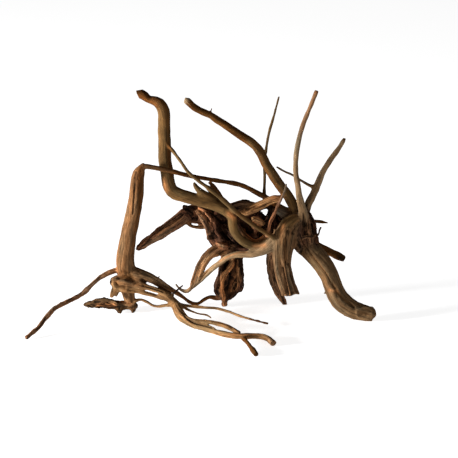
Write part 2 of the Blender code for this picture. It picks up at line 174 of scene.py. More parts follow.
@dataclass(frozen=True)
class Wood:
    """One kind of wood on the root.

    The tone is its middle colour. The depths, in millimetres, are of the broad flutes and
    of the splits along the grain, and of the lumps that decay leaves. Contrast is how far
    its pale and dark streaks part, from 0 to 1.
    """

    tone: Colour
    flutes: float
    splits: float
    lumps: float = 0.0
    contrast: float = 0.45


class Column(IntEnum):
    """Where a wood's numbers stand in its row, after the three of its tone."""

    FLUTES = 3
    SPLITS = 4
    LUMPS = 5
    CONTRAST = 6


class Kind(Enum):
    """The kinds of wood that the limbs are made of, with a near black that marks lay as painted
    shade and a bright orange that is partly painted light.
    """

    OLIVE = Wood((0.101, 0.058, 0.023), 0.45, 0.15)
    BROWN = Wood((0.076, 0.028, 0.0059), 0.4, 0.25)
    DRAB = Wood((0.181, 0.12, 0.07), 0.3, 0.15)
    TAN = Wood((0.222, 0.152, 0.091), 0.3, 0.3)
    AMBER = Wood((0.162, 0.083, 0.038), 0.55, 0.5)
    ORANGE = Wood((0.241, 0.133, 0.06), 0.5, 0.6)
    # Bright orange: the wood's own orange, painted brighter as light where it is lit.
    LIT_ORANGE = Wood((0.545, 0.267, 0.115), 0.6, 0.6, 0.5, 0.6)
    LEG = Wood((0.125, 0.076, 0.039), 0.55, 0.4)
    FOOT = Wood((0.148, 0.079, 0.039), 0.8, 0.9)
    RUST = Wood((0.432, 0.184, 0.075), 0.7, 0.9, 0.6, 0.6)
    PINK = Wood((0.2, 0.086, 0.044), 0.4, 0.7, 0.9, 0.7)
    UMBER = Wood((0.174, 0.088, 0.046), 0.6, 0.9, 0.8, 0.65)
    BARK = Wood((0.069, 0.037, 0.017), 0.4, 0.8, 2.0, 0.9)
    DECAYED = Wood((0.074, 0.032, 0.019), 0.5, 0.9, 1.7, 0.8)
    GREY = Wood((0.120, 0.088, 0.062), 0.3, 0.3)
    # Near black, laid in splits, grooves, cavities and hollows as painted shade.
    BLACK = Wood((0.006, 0.003, 0.002), 0.0, 0.0)

    def numbers(self) -> np.ndarray:
        """The wood's colour, depths and contrast in one row."""
        wood = self.value
        return np.array([*wood.tone, wood.flutes, wood.splits, wood.lumps, wood.contrast])


@dataclass(frozen=True)
class Mark:
    """A groove or a ridge along a line on the skin's front, and the colour
    laid along it: a stain, painted shade or a painted highlight.

    Each path point is (right, down, in front, width) in the front view, in millimetres. The
    skin is raised there by the height, or sunk where it is negative. The cover is how much
    of the skin's tone the mark's kind takes the place of. The reach is how far from the
    line, in depth, the skin is still marked.
    """

    height: float
    path: Path
    kind: Kind | None = None
    cover: float = 0.8
    reach: float = 8.0

    def share(self, seen: np.ndarray, facing: np.ndarray) -> tuple[np.ndarray, np.ndarray]:
        """How strongly the mark acts on points of the skin.

        Args:
            seen: Where the points are in the front view.
            facing: How far each faces the eye, from -1 to 1.

        Returns:
            The indices of the points that it acts on, and its share there, from 0 to 1.
        """
        line = smooth_line(self.path, MARK_STEP)
        width = line[:, 3].max() * MARK_SPREAD
        low, high = line[:, :3].min(axis=0), line[:, :3].max(axis=0)
        margin = np.array([width, width, self.reach])
        near = ((seen > low - margin) & (seen < high + margin)).all(axis=1) & (facing > 0)
        inside = np.nonzero(near)[0]
        away = seen[inside, None, :] - line[None, :, :3]
        gap = np.hypot(away[:, :, 0], away[:, :, 1])
        nearest = gap.argmin(axis=1)
        rows = np.arange(len(inside))
        sideways = gap[rows, nearest] / line[nearest, 3]
        depth = np.abs(away[rows, nearest, 2]) / self.reach
        share = np.exp(-sideways**2) * np.clip(2 - 2 * depth, 0, 1)
        return inside, share * np.clip(facing[inside] * MARK_TURN, 0, 1)


class GrainNoise:
    """Smooth random heights over arrays of points, the same on every run."""

    CELLS = 256
    GAIN = 1.7
    LAYER_SHIFT = 17.3

    def __init__(self, seed: int) -> None:
        """Draws the directions of the slopes.

        Args:
            seed: Picks the pattern.
        """
        draw = np.random.default_rng(seed)
        order = draw.permutation(self.CELLS)
        slopes = draw.normal(size=(self.CELLS, 3))
        self.order = np.concatenate([order, order, order])
        self.slopes = slopes / np.linalg.norm(slopes, axis=1, keepdims=True)

    def at(self, points: np.ndarray) -> np.ndarray:
        """Heights of one layer of noise.

        Args:
            points: An array of n by 3 coordinates.

        Returns:
            n heights, from about -1 to 1.
        """
        cell = np.floor(points).astype(np.int64)
        local = points - cell
        fade = local**3 * (local * (local * 6 - 15) + 10)
        total = np.zeros(len(points))
        for corner in itertools.product((0, 1), repeat=3):
            index = (cell + corner) & (self.CELLS - 1)
            pick = self.order[self.order[self.order[index[:, 0]] + index[:, 1]] + index[:, 2]]
            slope = (self.slopes[pick] * (local - corner)).sum(axis=1)
            weight = np.where(corner, fade, 1 - fade).prod(axis=1)
            total += weight * slope
        return total * self.GAIN

    def layered(self, points: np.ndarray, layers: int) -> np.ndarray:
        """Layers of noise, each half as high and half as wide as the last.

        Args:
            points: An array of n by 3 coordinates.
            layers: How many layers are added.

        Returns:
            n heights, from about -1 to 1.
        """
        total = np.zeros(len(points))
        for layer in range(layers):
            total += self.at(points * 2.0**layer + self.LAYER_SHIFT * layer) / 2.0**layer
        return total / (2 - 2.0 ** (1 - layers))


class Route:
    """The line along a limb's middle, with its frame turning as little as it can."""

    def __init__(self, places: np.ndarray, radii: np.ndarray) -> None:
        """Works out the run and the frame at each place.

        Args:
            places: The line's points, in millimetres.
            radii: The limb's radius at each, in millimetres.
        """
        self.places = places
        self.radii = radii
        steps = np.linalg.norm(np.diff(places, axis=0), axis=1)
        self.run = np.concatenate([[0.0], np.cumsum(steps)])
        along = np.gradient(places, axis=0)
        self.along = along / np.linalg.norm(along, axis=1, keepdims=True)
        side = Vector(self.along[0]).orthogonal().normalized()
        sides = []
        for direction in self.along:
            direction = Vector(direction)
            side = (side - direction * side.dot(direction)).normalized()
            sides.append(side.copy())
        self.side = np.array(sides)
        self.up = np.cross(self.along, self.side)

    def frame_at(self, index: int) -> Matrix:
        """The matrix that puts a unit ring round the line at one of its points."""
        radius = self.radii[index]
        columns = (self.side[index] * radius, self.up[index] * radius, self.along[index] * radius)
        turn = Matrix([list(column) for column in columns]).transposed().to_4x4()
        return Matrix.Translation(Vector(self.places[index])) @ turn

    def beside(self, points: np.ndarray) -> np.ndarray:
        """The indices of the points that lie in the limb's box or near it."""
        margin = self.radii.max() + NEAR_MARGIN
        low = self.places.min(axis=0) - margin
        high = self.places.max(axis=0) + margin
        return np.nonzero(((points > low) & (points < high)).all(axis=1))[0]


@dataclass(frozen=True)
class Limb:
    """A tapering limb: what it is made of, and where it is seen.

    Each path point is (right, down, in front, radius) in millimetres, from tip to base, or
    (right, down, above the ground, radius) where by_height is set. Its first end may be of
    other wood, which fades out over the tip's reach.
    """

    kind: Kind
    path: Path
    by_height: bool = False
    tip: Kind | None = None
    tip_reach: float = 14.0

    def woods(self, run: np.ndarray) -> np.ndarray:
        """The wood's numbers at each run along the limb, one row for each."""
        rows = np.tile(self.kind.numbers(), (len(run), 1))
        if self.tip:
            share = np.clip(TIP_FADE - TIP_FADE * run / self.tip_reach, 0, 1)[:, None]
            rows += share * (self.tip.numbers() - rows)
        return rows

    @cached_property
    def route(self) -> Route:
        """The limb's line in the root's frame."""
        knots = [(*VIEW.place(right, down, depth, self.by_height), radius)
                 for right, down, depth, radius in self.path]
        line = smooth_line(knots, LINE_STEP)
        return Route(line[:, :3], line[:, 3])

    def sweep(self) -> bpy.types.Mesh:
        """The limb as a closed tube, in metres."""
        count = len(self.route.places)
        spacing = max(1, round(RING_SPACING * float(self.route.radii.mean())))
        stops = list(range(0, count - 1, spacing)) + [count - 1]
        tube = bmesh.new()
        ring = bmesh.ops.create_circle(tube, segments=RING_SIDES, radius=1.0)["verts"]
        placed = self.route.frame_at(stops[0])
        bmesh.ops.transform(tube, matrix=placed, verts=ring)
        edges = list({edge for vert in ring for edge in vert.link_edges})
        bmesh.ops.contextual_create(tube, geom=edges)
        for stop in stops[1:]:
            grown = bmesh.ops.extrude_edge_only(tube, edges=edges)["geom"]
            ring = [item for item in grown if isinstance(item, bmesh.types.BMVert)]
            fresh = set(ring)
            edges = [item for item in grown
                     if isinstance(item, bmesh.types.BMEdge) and fresh.issuperset(item.verts)]
            ahead = self.route.frame_at(stop)
            bmesh.ops.transform(tube, matrix=ahead @ placed.inverted(), verts=ring)
            placed = ahead
        bmesh.ops.contextual_create(tube, geom=edges)
        bmesh.ops.recalc_face_normals(tube, faces=tube.faces)
        bmesh.ops.scale(tube, vec=(MM, MM, MM), verts=tube.verts)
        mesh = bpy.data.meshes.new("tube")
        tube.to_mesh(mesh)
        tube.free()
        return mesh


@dataclass
class Grain:
    """Where points lie in a limb's own grain, all in millimetres."""

    run: np.ndarray
    round_x: np.ndarray
    round_y: np.ndarray
    outside: np.ndarray

    @classmethod
    def of(cls, route: Route, points: np.ndarray) -> "Grain":
        """Finds each point's place along and round a limb.

        Args:
            route: The limb's line.
            points: An array of n by 3 coordinates.

        Returns:
            The run along the limb, the place round it, and how far outside it the point is.
        """
        nearest = np.empty(len(points), dtype=np.int64)
        for start in range(0, len(points), CHUNK):
            chunk = points[start:start + CHUNK]
            gap = ((chunk[:, None] - route.places[None]) ** 2).sum(axis=2)
            nearest[start:start + CHUNK] = gap.argmin(axis=1)
        away = points - route.places[nearest]
        slide = (away * route.along[nearest]).sum(axis=1)
        slide = np.clip(slide, -LINE_STEP, LINE_STEP)
        radial = away - route.along[nearest] * slide[:, None]
        run = route.run[nearest] + slide
        radius = np.interp(run, route.run, route.radii)
        x = (radial * route.side[nearest]).sum(axis=1)
        y = (radial * route.up[nearest]).sum(axis=1)
        reach = np.linalg.norm(radial, axis=1)
        scale = radius / np.maximum(reach, 1e-6)
        return cls(run, x * scale, y * scale, reach - radius)


class LimbGroup:
    """Limbs that grow together."""

    def limbs(self) -> list[Limb]:
        """The group's limbs, in the order that they are listed."""
        return self.parts(Limb)

    def marks(self) -> list[Mark]:
        """The group's marks, in the order that they are listed."""
        return self.parts(Mark)

    def parts(self, sort: type) -> list:
        """The group's fields of one sort."""
        values = (getattr(self, part.name) for part in fields(self))
        return [value for value in values if isinstance(value, sort)]


@dataclass(frozen=True)
class CrownLimbs(LimbGroup):
    """The crown's smooth limbs: the long arms, the spires, the thick leg and the pale root."""

    tall_limb: Limb = Limb(Kind.OLIVE, [
        (137.2, 93.6, 4, 3.4), (138.8, 93.2, 4, 4.2), (142.2, 94.4, 4, 4.6), (145.8, 97, 5, 4.2),
        (149.2, 99.6, 5, 3.7), (154.8, 100.6, 6, 4.7), (160.3, 104, 8, 5.8), (163.7, 111.5, 9, 6),
        (164.3, 126, 10, 6.2), (164.6, 142, 13, 6.3), (165, 160, 16, 6.4), (167, 172, 17, 6.4),
        (168.5, 183, 20, 6.5), (173, 191.5, 22, 6.7), (183, 196, 23, 6.3), (200, 200.5, 24, 6),
        (212, 204, 24, 5.8), (223, 208.6, 24, 5.6), (232.5, 214.5, 24, 5.4),
    ], tip=Kind.BROWN, tip_reach=26)
    loop: Limb = Limb(Kind.OLIVE, [
        (226, 210.5, 25, 5.2), (232, 217, 25, 5), (232.5, 225, 24, 4.4), (235.5, 233, 22, 4.3),
        (242, 240.5, 20, 4.3), (250, 245, 18, 4.3), (258, 246, 17, 4.2), (266, 243, 15, 4.2),
        (275, 239, 14, 6),
    ])
    inner_loop: Limb = Limb(Kind.RUST, [
        (235, 222, 14, 3), (240, 230, 12, 3.6), (246, 238, 11, 3.8), (255, 242.5, 10, 3.6),
        (264, 239, 10, 3.6), (272, 234, 10, 5),
    ], tip=Kind.DECAYED, tip_reach=24)
    upper_limb: Limb = Limb(Kind.BROWN, [
        (184.5, 99.8, 16, 2.6), (187.3, 101, 16, 3.6), (193, 106.4, 16, 3.5), (200, 110.6, 16, 3.4),
        (210.3, 115, 16, 3.4), (217.5, 120, 16, 3.6), (228.5, 127, 16, 3.8), (240, 135, 15, 4),
        (251.5, 142.5, 15, 4.3), (258, 149, 14, 4.5), (262.5, 157, 13, 4.5), (267.2, 166, 12, 4.6),
        (273.5, 176, 11, 4.8), (280.5, 186, 9, 5), (287.8, 195.5, 7, 5.2), (292.8, 204.5, 5, 5.4),
        (297, 214, 3, 5.8), (299, 224, 0, 7),
    ], tip=Kind.TAN, tip_reach=5)
    front_spire: Limb = Limb(Kind.DRAB, [
        (316.8, 90.5, 4, 2), (315, 95, 4.4, 2.2), (311.8, 103, 5, 2.2), (306, 117, 7, 2.3),
        (300.4, 133, 9, 2.4), (297, 149, 11, 2.6), (295.8, 160.5, 13, 2.6), (295.8, 172, 15, 2.7),
        (297.5, 183.5, 17, 2.8), (299.2, 195, 18, 3.2), (301.5, 206, 17, 3.9),
        (302.8, 213, 15, 4.6), (302.5, 220, 10, 5.4), (302, 227, 5, 6),
    ], tip=Kind.BROWN, tip_reach=5)
    back_spire: Limb = Limb(Kind.DRAB, [
        (344.6, 138, -16, 1.5), (342.5, 142, -16, 2.3), (338.2, 149, -15, 2.6),
        (329.6, 161.2, -13, 2.9), (322.8, 172, -11, 3), (318, 183.5, -9, 3.6), (313, 195, -7, 3.8),
        (308.4, 204, -5, 3.9), (305, 214, -3, 4.5), (302, 224, 0, 6),
    ], tip=Kind.BROWN, tip_reach=4)
    right_leg: Limb = Limb(Kind.LEG, [
        (297, 236, 4, 11.5), (306, 246, 7, 10.8), (316, 256, 10, 10), (325, 267, 13, 9.5),
        (330, 277.5, 16, 9.4), (333.8, 288, 18, 9.8), (340, 299.8, 20, 10.2),
        (351.3, 308.6, 22, 9.7), (362.5, 312.3, 22.5, 8.4), (368.5, 314, 23, 7.8),
        (373.6, 315.2, 24, 6.6),
    ])
    back_stub: Limb = Limb(Kind.BROWN, [
        (300, 236, -2, 7), (309, 241.4, -8, 4.6), (320.6, 247.4, -13, 3.8),
        (331.4, 252.7, -18, 4.1), (340, 257, -21, 4.2), (344, 259, -22, 3.2),
    ])
    pale_root: Limb = Limb(Kind.TAN, [
        (284, 232, 12, 7), (276, 240, 16, 6.6), (268, 247, 19, 5.8), (259, 252, 21, 4.6),
        (248, 254.3, 22, 3.7), (237.4, 254.5, 22, 3.3), (228, 257, 21, 3), (218.3, 263.8, 19, 2.9),
        (208.7, 271.6, 16, 3), (199.5, 280, 13, 3.1), (192, 287, 11, 2.6), (186.7, 291.3, 9, 1.9),
        (180.5, 289.5, 6, 1.5), (175.6, 284.2, 5, 1),
    ])
    leg_thorn: Limb = Limb(Kind.LEG, [(328, 291, 22, 1.6), (323.8, 293.6, 22, 0.7)])
    loop_knot: Mark = Mark(0.8, [(229, 214, 29, 2.4), (234, 217, 29, 2.6)], Kind.RUST, 0.7)
    bend_stain: Mark = Mark(0, [(163, 180, 25, 2.5), (166, 190, 27, 3)], Kind.RUST, 0.4)
    leg_scar: Mark = Mark(-1.2, [(329, 290, 27, 1.6), (336, 292, 29, 1.4)], Kind.RUST, 0.7, 12)
    pale_root_crack: Mark = Mark(-0.8, [
        (247, 251.6, 25, 0.6), (238, 252.6, 25, 0.6), (228, 256.4, 24, 0.6), (219, 262, 22, 0.6),
    ], Kind.RUST, 0.7)
    leg_groove: Mark = Mark(-1.1, [
        (301, 240, 18, 0.7), (306, 247, 20, 0.7), (311.6, 254.6, 21, 0.6), (320, 265.4, 23, 0.6),
        (327.2, 275, 25, 0.6), (330.8, 282.2, 27, 0.6),
    ], Kind.BROWN, 0.75, 12)
    leg_swell: Mark = Mark(1.0, [
        (304, 253, 19, 2.4), (313, 264, 21, 2.4), (321, 275, 24, 2.4), (326, 284, 26, 2.2),
    ], Kind.OLIVE, 0.3, 12)
    leg_lower_groove: Mark = Mark(-1.2, [
        (332, 284, 28, 1.4), (338, 292.6, 29, 1.8), (345, 300.0, 31, 1.8), (353.8, 306.6, 31, 1.4),
    ], Kind.BROWN, 0.8, 12)
    leg_end_hollow: Mark = Mark(-1.0, [
        (362.5, 313, 30, 3.0), (368.5, 313.6, 31, 3.4),
    ], Kind.AMBER, 0.45, 14)
    leg_end_rim: Mark = Mark(0.9, [
        (368, 319.6, 30, 0.9), (360, 318.4, 31, 1.0), (356.6, 314, 32, 1.0), (358, 309.4, 31, 0.9),
        (364, 307.6, 29, 0.9), (371, 307.6, 28, 0.9),
    ], Kind.TAN, 0.45, 14)
    leg_end_side: Limb = Limb(Kind.LEG, [
        (370.5, 307.6, 24, 1.8), (373.6, 310.4, 24.5, 2.2), (373.8, 315, 25, 2.2),
        (369.6, 319.4, 26, 1.6),
    ])
    loop_shade: Mark = Mark(-0.6, [
        (240, 222, 24, 1.2), (244, 233, 20, 1.4), (254, 240, 19, 1.4),
    ], Kind.BROWN, 0.8)
    loop_stain: Mark = Mark(0, [(254, 246, 21, 2.0), (264, 245, 19, 2.4)], Kind.RUST, 0.7, 10)
    # Browns the tall limb's right side: painted shade, and partly the wood's own darker colour.
    tall_limb_shaded_side: Mark = Mark(0, [
        (139, 90.6, 6, 2.4), (147, 95, 8, 2.8), (156, 98.6, 10, 3.2), (164, 103, 12, 3.4),
        (167.6, 112, 12, 3.0), (168.4, 126, 12, 2.6), (168.8, 142, 14, 2.4), (169.4, 160, 18, 2.2),
        (172, 176, 20, 1.8),
    ], Kind.BROWN, 0.9, 10)
    leg_warmth: Mark = Mark(0, [
        (322, 276, 25, 2.4), (328, 286, 27, 2.6), (334, 297, 29, 2.4), (343, 306, 31, 2.0),
    ], Kind.AMBER, 0.45, 12)
    stub_end: Mark = Mark(-0.4, [(340, 258, -17, 3.4), (344.6, 260, -18, 3.4)], Kind.BLACK, 0.8, 10)
    tall_limb_end: Mark = Mark(0, [
        (138, 94, 8, 4.0), (144, 97, 9, 4.2), (151, 101.6, 10, 4.0), (157, 106, 13, 3.0),
    ], Kind.BROWN, 0.8, 12)
    leg_end_corner: Limb = Limb(Kind.LEG, [(371, 313.4, 25, 3.0), (375.4, 314.2, 25.4, 0.9)])
    leg_end_top: Limb = Limb(Kind.LEG, [(369.6, 309.4, 23.6, 2.8), (373.4, 306.6, 23.6, 0.9)])
    upper_limb_olive: Mark = Mark(0, [
        (250, 141, 19, 3.6), (262, 157, 18, 4.2), (274, 176, 16, 4.6), (287, 195, 12, 5),
        (294, 208, 10, 5),
    ], Kind.OLIVE, 0.65, 12)
    spire_top_shade: Mark = Mark(0, [
        (316, 92, 7, 3.2), (311, 104, 8, 3.2), (305, 119, 10, 3.0), (300, 134, 12, 2.6),
    ], Kind.UMBER, 0.7, 10)


@dataclass(frozen=True)
class Twigs(LimbGroup):
    """Twigs that cross in front of the limbs, broken shards, and the whips above them."""

    cross_twig: Limb = Limb(Kind.BROWN, [
        (141.5, 166.8, 28, 2.2), (147, 166.5, 29, 2.5), (160, 168.8, 30, 2.4),
        (174.6, 172, 29, 2.4), (190.7, 176, 26, 2.3), (205, 178.5, 22, 2.2),
        (217.6, 180.5, 18, 2.2), (235, 183.3, 13, 2.3), (246.3, 187, 10, 2.4), (257.8, 193, 7, 2.6),
        (269, 199.5, 5, 2.9), (280.7, 207.4, 3, 3.3), (292, 214.5, 2, 4.5),
    ])
    front_twig: Limb = Limb(Kind.OLIVE, [
        (164, 140.5, 17, 1.6), (171, 148.5, 20, 1.7), (180, 160.5, 27, 1.7), (188, 172, 32, 1.8),
        (198, 180.5, 33, 1.9), (208, 188, 33, 2.0), (220, 197.5, 32, 2.2), (229, 205.5, 31, 2.4),
        (236, 212, 30, 2.3), (246.3, 220, 30, 2.1), (257.8, 228, 29, 2.0), (269.2, 235, 26, 2.1),
        (278, 240, 20, 3),
    ])
    hair_twig: Limb = Limb(Kind.OLIVE, [
        (279, 96.5, -6, 0.8), (275.2, 111, -6, 1.2), (272.1, 121.5, -6, 1.6), (269.1, 132, -6, 1.5),
        (266, 149, -6, 1.5), (264.7, 160, -6, 1.5), (264.6, 170, -5, 1.5), (264.6, 179, -3, 1.5),
        (264.2, 190, 1, 1.7), (264, 197, 5, 2.4),
    ])
    side_whip: Limb = Limb(Kind.OLIVE, [
        (276.3, 166.7, -9, 1.0), (284.3, 171.3, -8, 1.2), (292.3, 174.8, -8, 1.3),
        (300.4, 180, -8, 1.4), (308.4, 184.8, -8, 1.7), (314, 187, -8, 2.4), (319, 189.5, -8, 3.6),
    ])
    front_splinter: Limb = Limb(Kind.PINK, [
        (286.5, 183.3, 26, 0.9), (284, 192.5, 27, 1.3), (278.4, 204, 27, 1.5),
        (273.8, 214.3, 27, 1.6), (270.5, 222, 26, 1.7), (268, 231, 25, 2), (267, 237, 23, 2.2),
    ], tip=Kind.GREY, tip_reach=22)
    pale_stub: Limb = Limb(Kind.OLIVE, [
        (193.6, 182, 24, 1.3), (195.5, 185.5, 24, 2.2), (199, 189.5, 24, 2.6), (205, 194, 23, 3.2),
        (213, 199, 22, 4),
    ])
    dark_shard: Limb = Limb(Kind.BROWN, [
        (208.5, 182.2, 19, 1.2), (212, 184.8, 18, 2.2), (216, 190, 17, 2.7), (220, 197.6, 16, 3.4),
        (225.6, 205.6, 15, 4.2), (230, 212, 15, 4.5),
    ])
    # The orange shard: its own orange, painted brighter as light.
    orange_shard: Limb = Limb(Kind.LIT_ORANGE, [
        (240, 215, 6, 3.5), (246, 212, 7, 4), (255, 208, 9, 4.2), (264, 203.5, 10, 3.8),
        (272.5, 200, 9, 3.2), (280, 197.8, 7.5, 2),
    ], tip=Kind.AMBER, tip_reach=16)
    crown_thorn: Limb = Limb(Kind.BROWN, [
        (306, 221, -3, 3.6), (314, 221, -6, 2), (320, 221.5, -8, 1.6), (328, 222.8, -10, 0.7),
    ])
    crown_spur: Limb = Limb(Kind.BROWN, [
        (311, 241, 4, 1.6), (317.6, 235, 2, 1.1), (319.3, 230.5, 2, 1), (321, 227, 2, 0.9),
    ])
    hair_spur: Limb = Limb(Kind.BROWN, [(210.6, 115, 16, 1.2), (211.6, 108, 16, 0.6)])
    stub_body: Limb = Limb(Kind.OLIVE, [
        (194, 183.6, 25, 1.8), (196, 187.4, 25, 2.7), (200, 191.4, 25, 3.4), (206.5, 196, 24, 4.2),
        (215, 200.5, 23, 4.8),
    ])
    shard_body: Limb = Limb(Kind.UMBER, [
        (206, 186, 17, 1.8), (212, 192.4, 17, 2.8), (219, 200.5, 16, 3.4), (226, 208, 15, 3.8),
    ])
    # The shard's body, in the same brightened orange: painted light.
    orange_body: Limb = Limb(Kind.LIT_ORANGE, [
        (246, 211, 11, 3.6), (253, 207.8, 12.5, 4.4), (262, 204.4, 13, 4.2), (270, 200.6, 13, 4.0),
        (276, 198.6, 12, 3.8), (281.5, 198.6, 10, 2.6),
    ])
    orange_groove: Mark = Mark(-1.4, [
        (251, 210.6, 16, 0.8), (262, 206.4, 17, 0.9), (272, 203, 16, 0.8),
    ], Kind.BROWN, 0.8, 12)
    orange_stain: Mark = Mark(0.3, [(272, 199, 16, 2.0), (278, 198.6, 15, 2.2)], Kind.RUST, 0.8, 12)
    twig_shade: Mark = Mark(0, [
        (237, 212.6, 32, 1.7), (246.3, 220, 32, 1.7), (257.8, 228, 31, 1.7), (269.2, 235, 28, 1.7),
    ], Kind.BROWN, 0.6, 10)
    cross_twig_shade: Mark = Mark(0, [
        (142.4, 166.8, 31, 2.6), (150, 167, 31.5, 2.6), (160, 168.8, 32, 2.6),
        (172, 171.4, 31, 2.2),
    ], Kind.BARK, 0.8, 10)


@dataclass(frozen=True)
class FrontFoot(LimbGroup):
    """The fluted front foot, its cords of wood, and the bark foot behind it."""

    front_foot: Limb = Limb(Kind.FOOT, [
        (292, 221, 10, 8), (286.5, 229, 13, 8.4), (283.7, 240, 14, 8.6), (283, 252, 14, 8.4),
        (283, 264, 13, 8), (285.3, 276, 11, 7.6), (288.3, 286.5, 9, 7.4), (290.4, 293.6, 8, 7.2),
    ])
    foot_cord_left: Limb = Limb(Kind.FOOT, [
        (279.5, 230, 17, 5.6), (277.5, 240, 19.5, 5.2), (277, 252, 20, 4.8), (277.3, 264, 19, 4.4),
        (279.4, 276, 17, 4.2), (282.6, 287, 15, 4), (285.2, 293.4, 14, 3.8),
    ])
    foot_cord_middle: Limb = Limb(Kind.FOOT, [
        (286, 231, 21, 5), (284.5, 245, 22, 4.6), (284, 258, 21.5, 4.3), (285.2, 272, 19.5, 4),
        (288, 284, 17, 3.8), (290.8, 294, 15, 3.6),
    ])
    foot_cord_right: Limb = Limb(Kind.FOOT, [
        (291, 233, 17, 5), (288.6, 245, 18, 4.0), (287, 258, 17.5, 3.8), (288.2, 271, 15, 3.5),
        (292.2, 284, 13, 3.3), (296, 293.4, 11, 3.0),
    ])
    bark_foot: Limb = Limb(Kind.UMBER, [
        (280, 240, -6, 6.5), (272.5, 252, -10, 5.6), (271, 264, -14, 5.2), (273, 277, -17, 5),
        (277, 288, -19.5, 4.7), (281, 297, -21, 3.6), (283.8, 302.5, -21.9, 2.6),
        (284.8, 306, -21.9, 1.9),
    ])
    # The foot's flutes are painted near black along their floors: painted shade.
    foot_groove_left: Mark = Mark(-2.4, [
        (282.6, 268, 24, 0.9), (284.4, 278, 22.5, 1.2), (286.6, 288, 20.5, 1.2),
        (288, 296, 19, 1.2),
    ], Kind.BLACK, 0.8, 12)
    foot_groove_middle: Mark = Mark(-2.4, [
        (286, 262, 25, 0.8), (288.4, 276, 23, 1.1), (291, 287, 21, 1.2), (292.8, 295, 19, 1.2),
    ], Kind.BLACK, 0.8, 12)
    foot_groove_right: Mark = Mark(-2.4, [
        (289.6, 264, 21, 1.0), (291.4, 274, 19.6, 1.3), (294.4, 284, 17, 1.4),
        (297.4, 292, 15, 1.3),
    ], Kind.BLACK, 0.8, 12)
    foot_ridge: Mark = Mark(1.4, [
        (287.4, 266, 25, 0.9), (289.8, 278, 22, 0.9), (293.2, 290, 18.6, 0.9),
    ], Kind.TAN, 0.6, 12)
    foot_stain: Mark = Mark(0.4, [(283.6, 226, 24, 2), (279.5, 243, 26, 2)], Kind.RUST, 0.4, 12)
    foot_splinter_left: Limb = Limb(Kind.FOOT, [(282, 288, 17, 2.2), (282.6, 296.6, 16, 1.4)])
    foot_splinter_right: Limb = Limb(Kind.FOOT, [(294.4, 286, 10.5, 2.6), (298.7, 294.7, 10, 1.3)])
    foot_shoulder: Limb = Limb(Kind.OLIVE, [
        (299, 217, 10, 4.6), (292.5, 219.6, 15, 5.8), (286, 225.6, 18, 6.6), (282, 234, 19, 6.2),
        (280, 245, 20, 5.2), (279.4, 256, 20, 4.2),
    ])
    foot_right_edge: Limb = Limb(Kind.FOOT, [
        (296, 224, 14, 4.4), (293.4, 236, 15, 4.4), (289.8, 250, 14, 3.8), (288, 262, 13, 3.3),
        (288.6, 271, 12, 3.0), (291.4, 280, 11.5, 2.8), (294.8, 288, 10.5, 2.4),
        (297.2, 293.4, 10, 2.0),
    ])
    foot_shade: Mark = Mark(-0.7, [
        (285.6, 238, 26, 1.8), (285, 250, 26, 2.0), (286, 262, 25, 1.6),
    ], Kind.BROWN, 0.7, 12)
    foot_light: Mark = Mark(0, [
        (277.6, 240, 23, 1.8), (276, 256, 24, 1.8), (277.4, 272, 22, 1.6), (281.6, 288, 18, 1.4),
    ], Kind.DRAB, 0.6, 12)


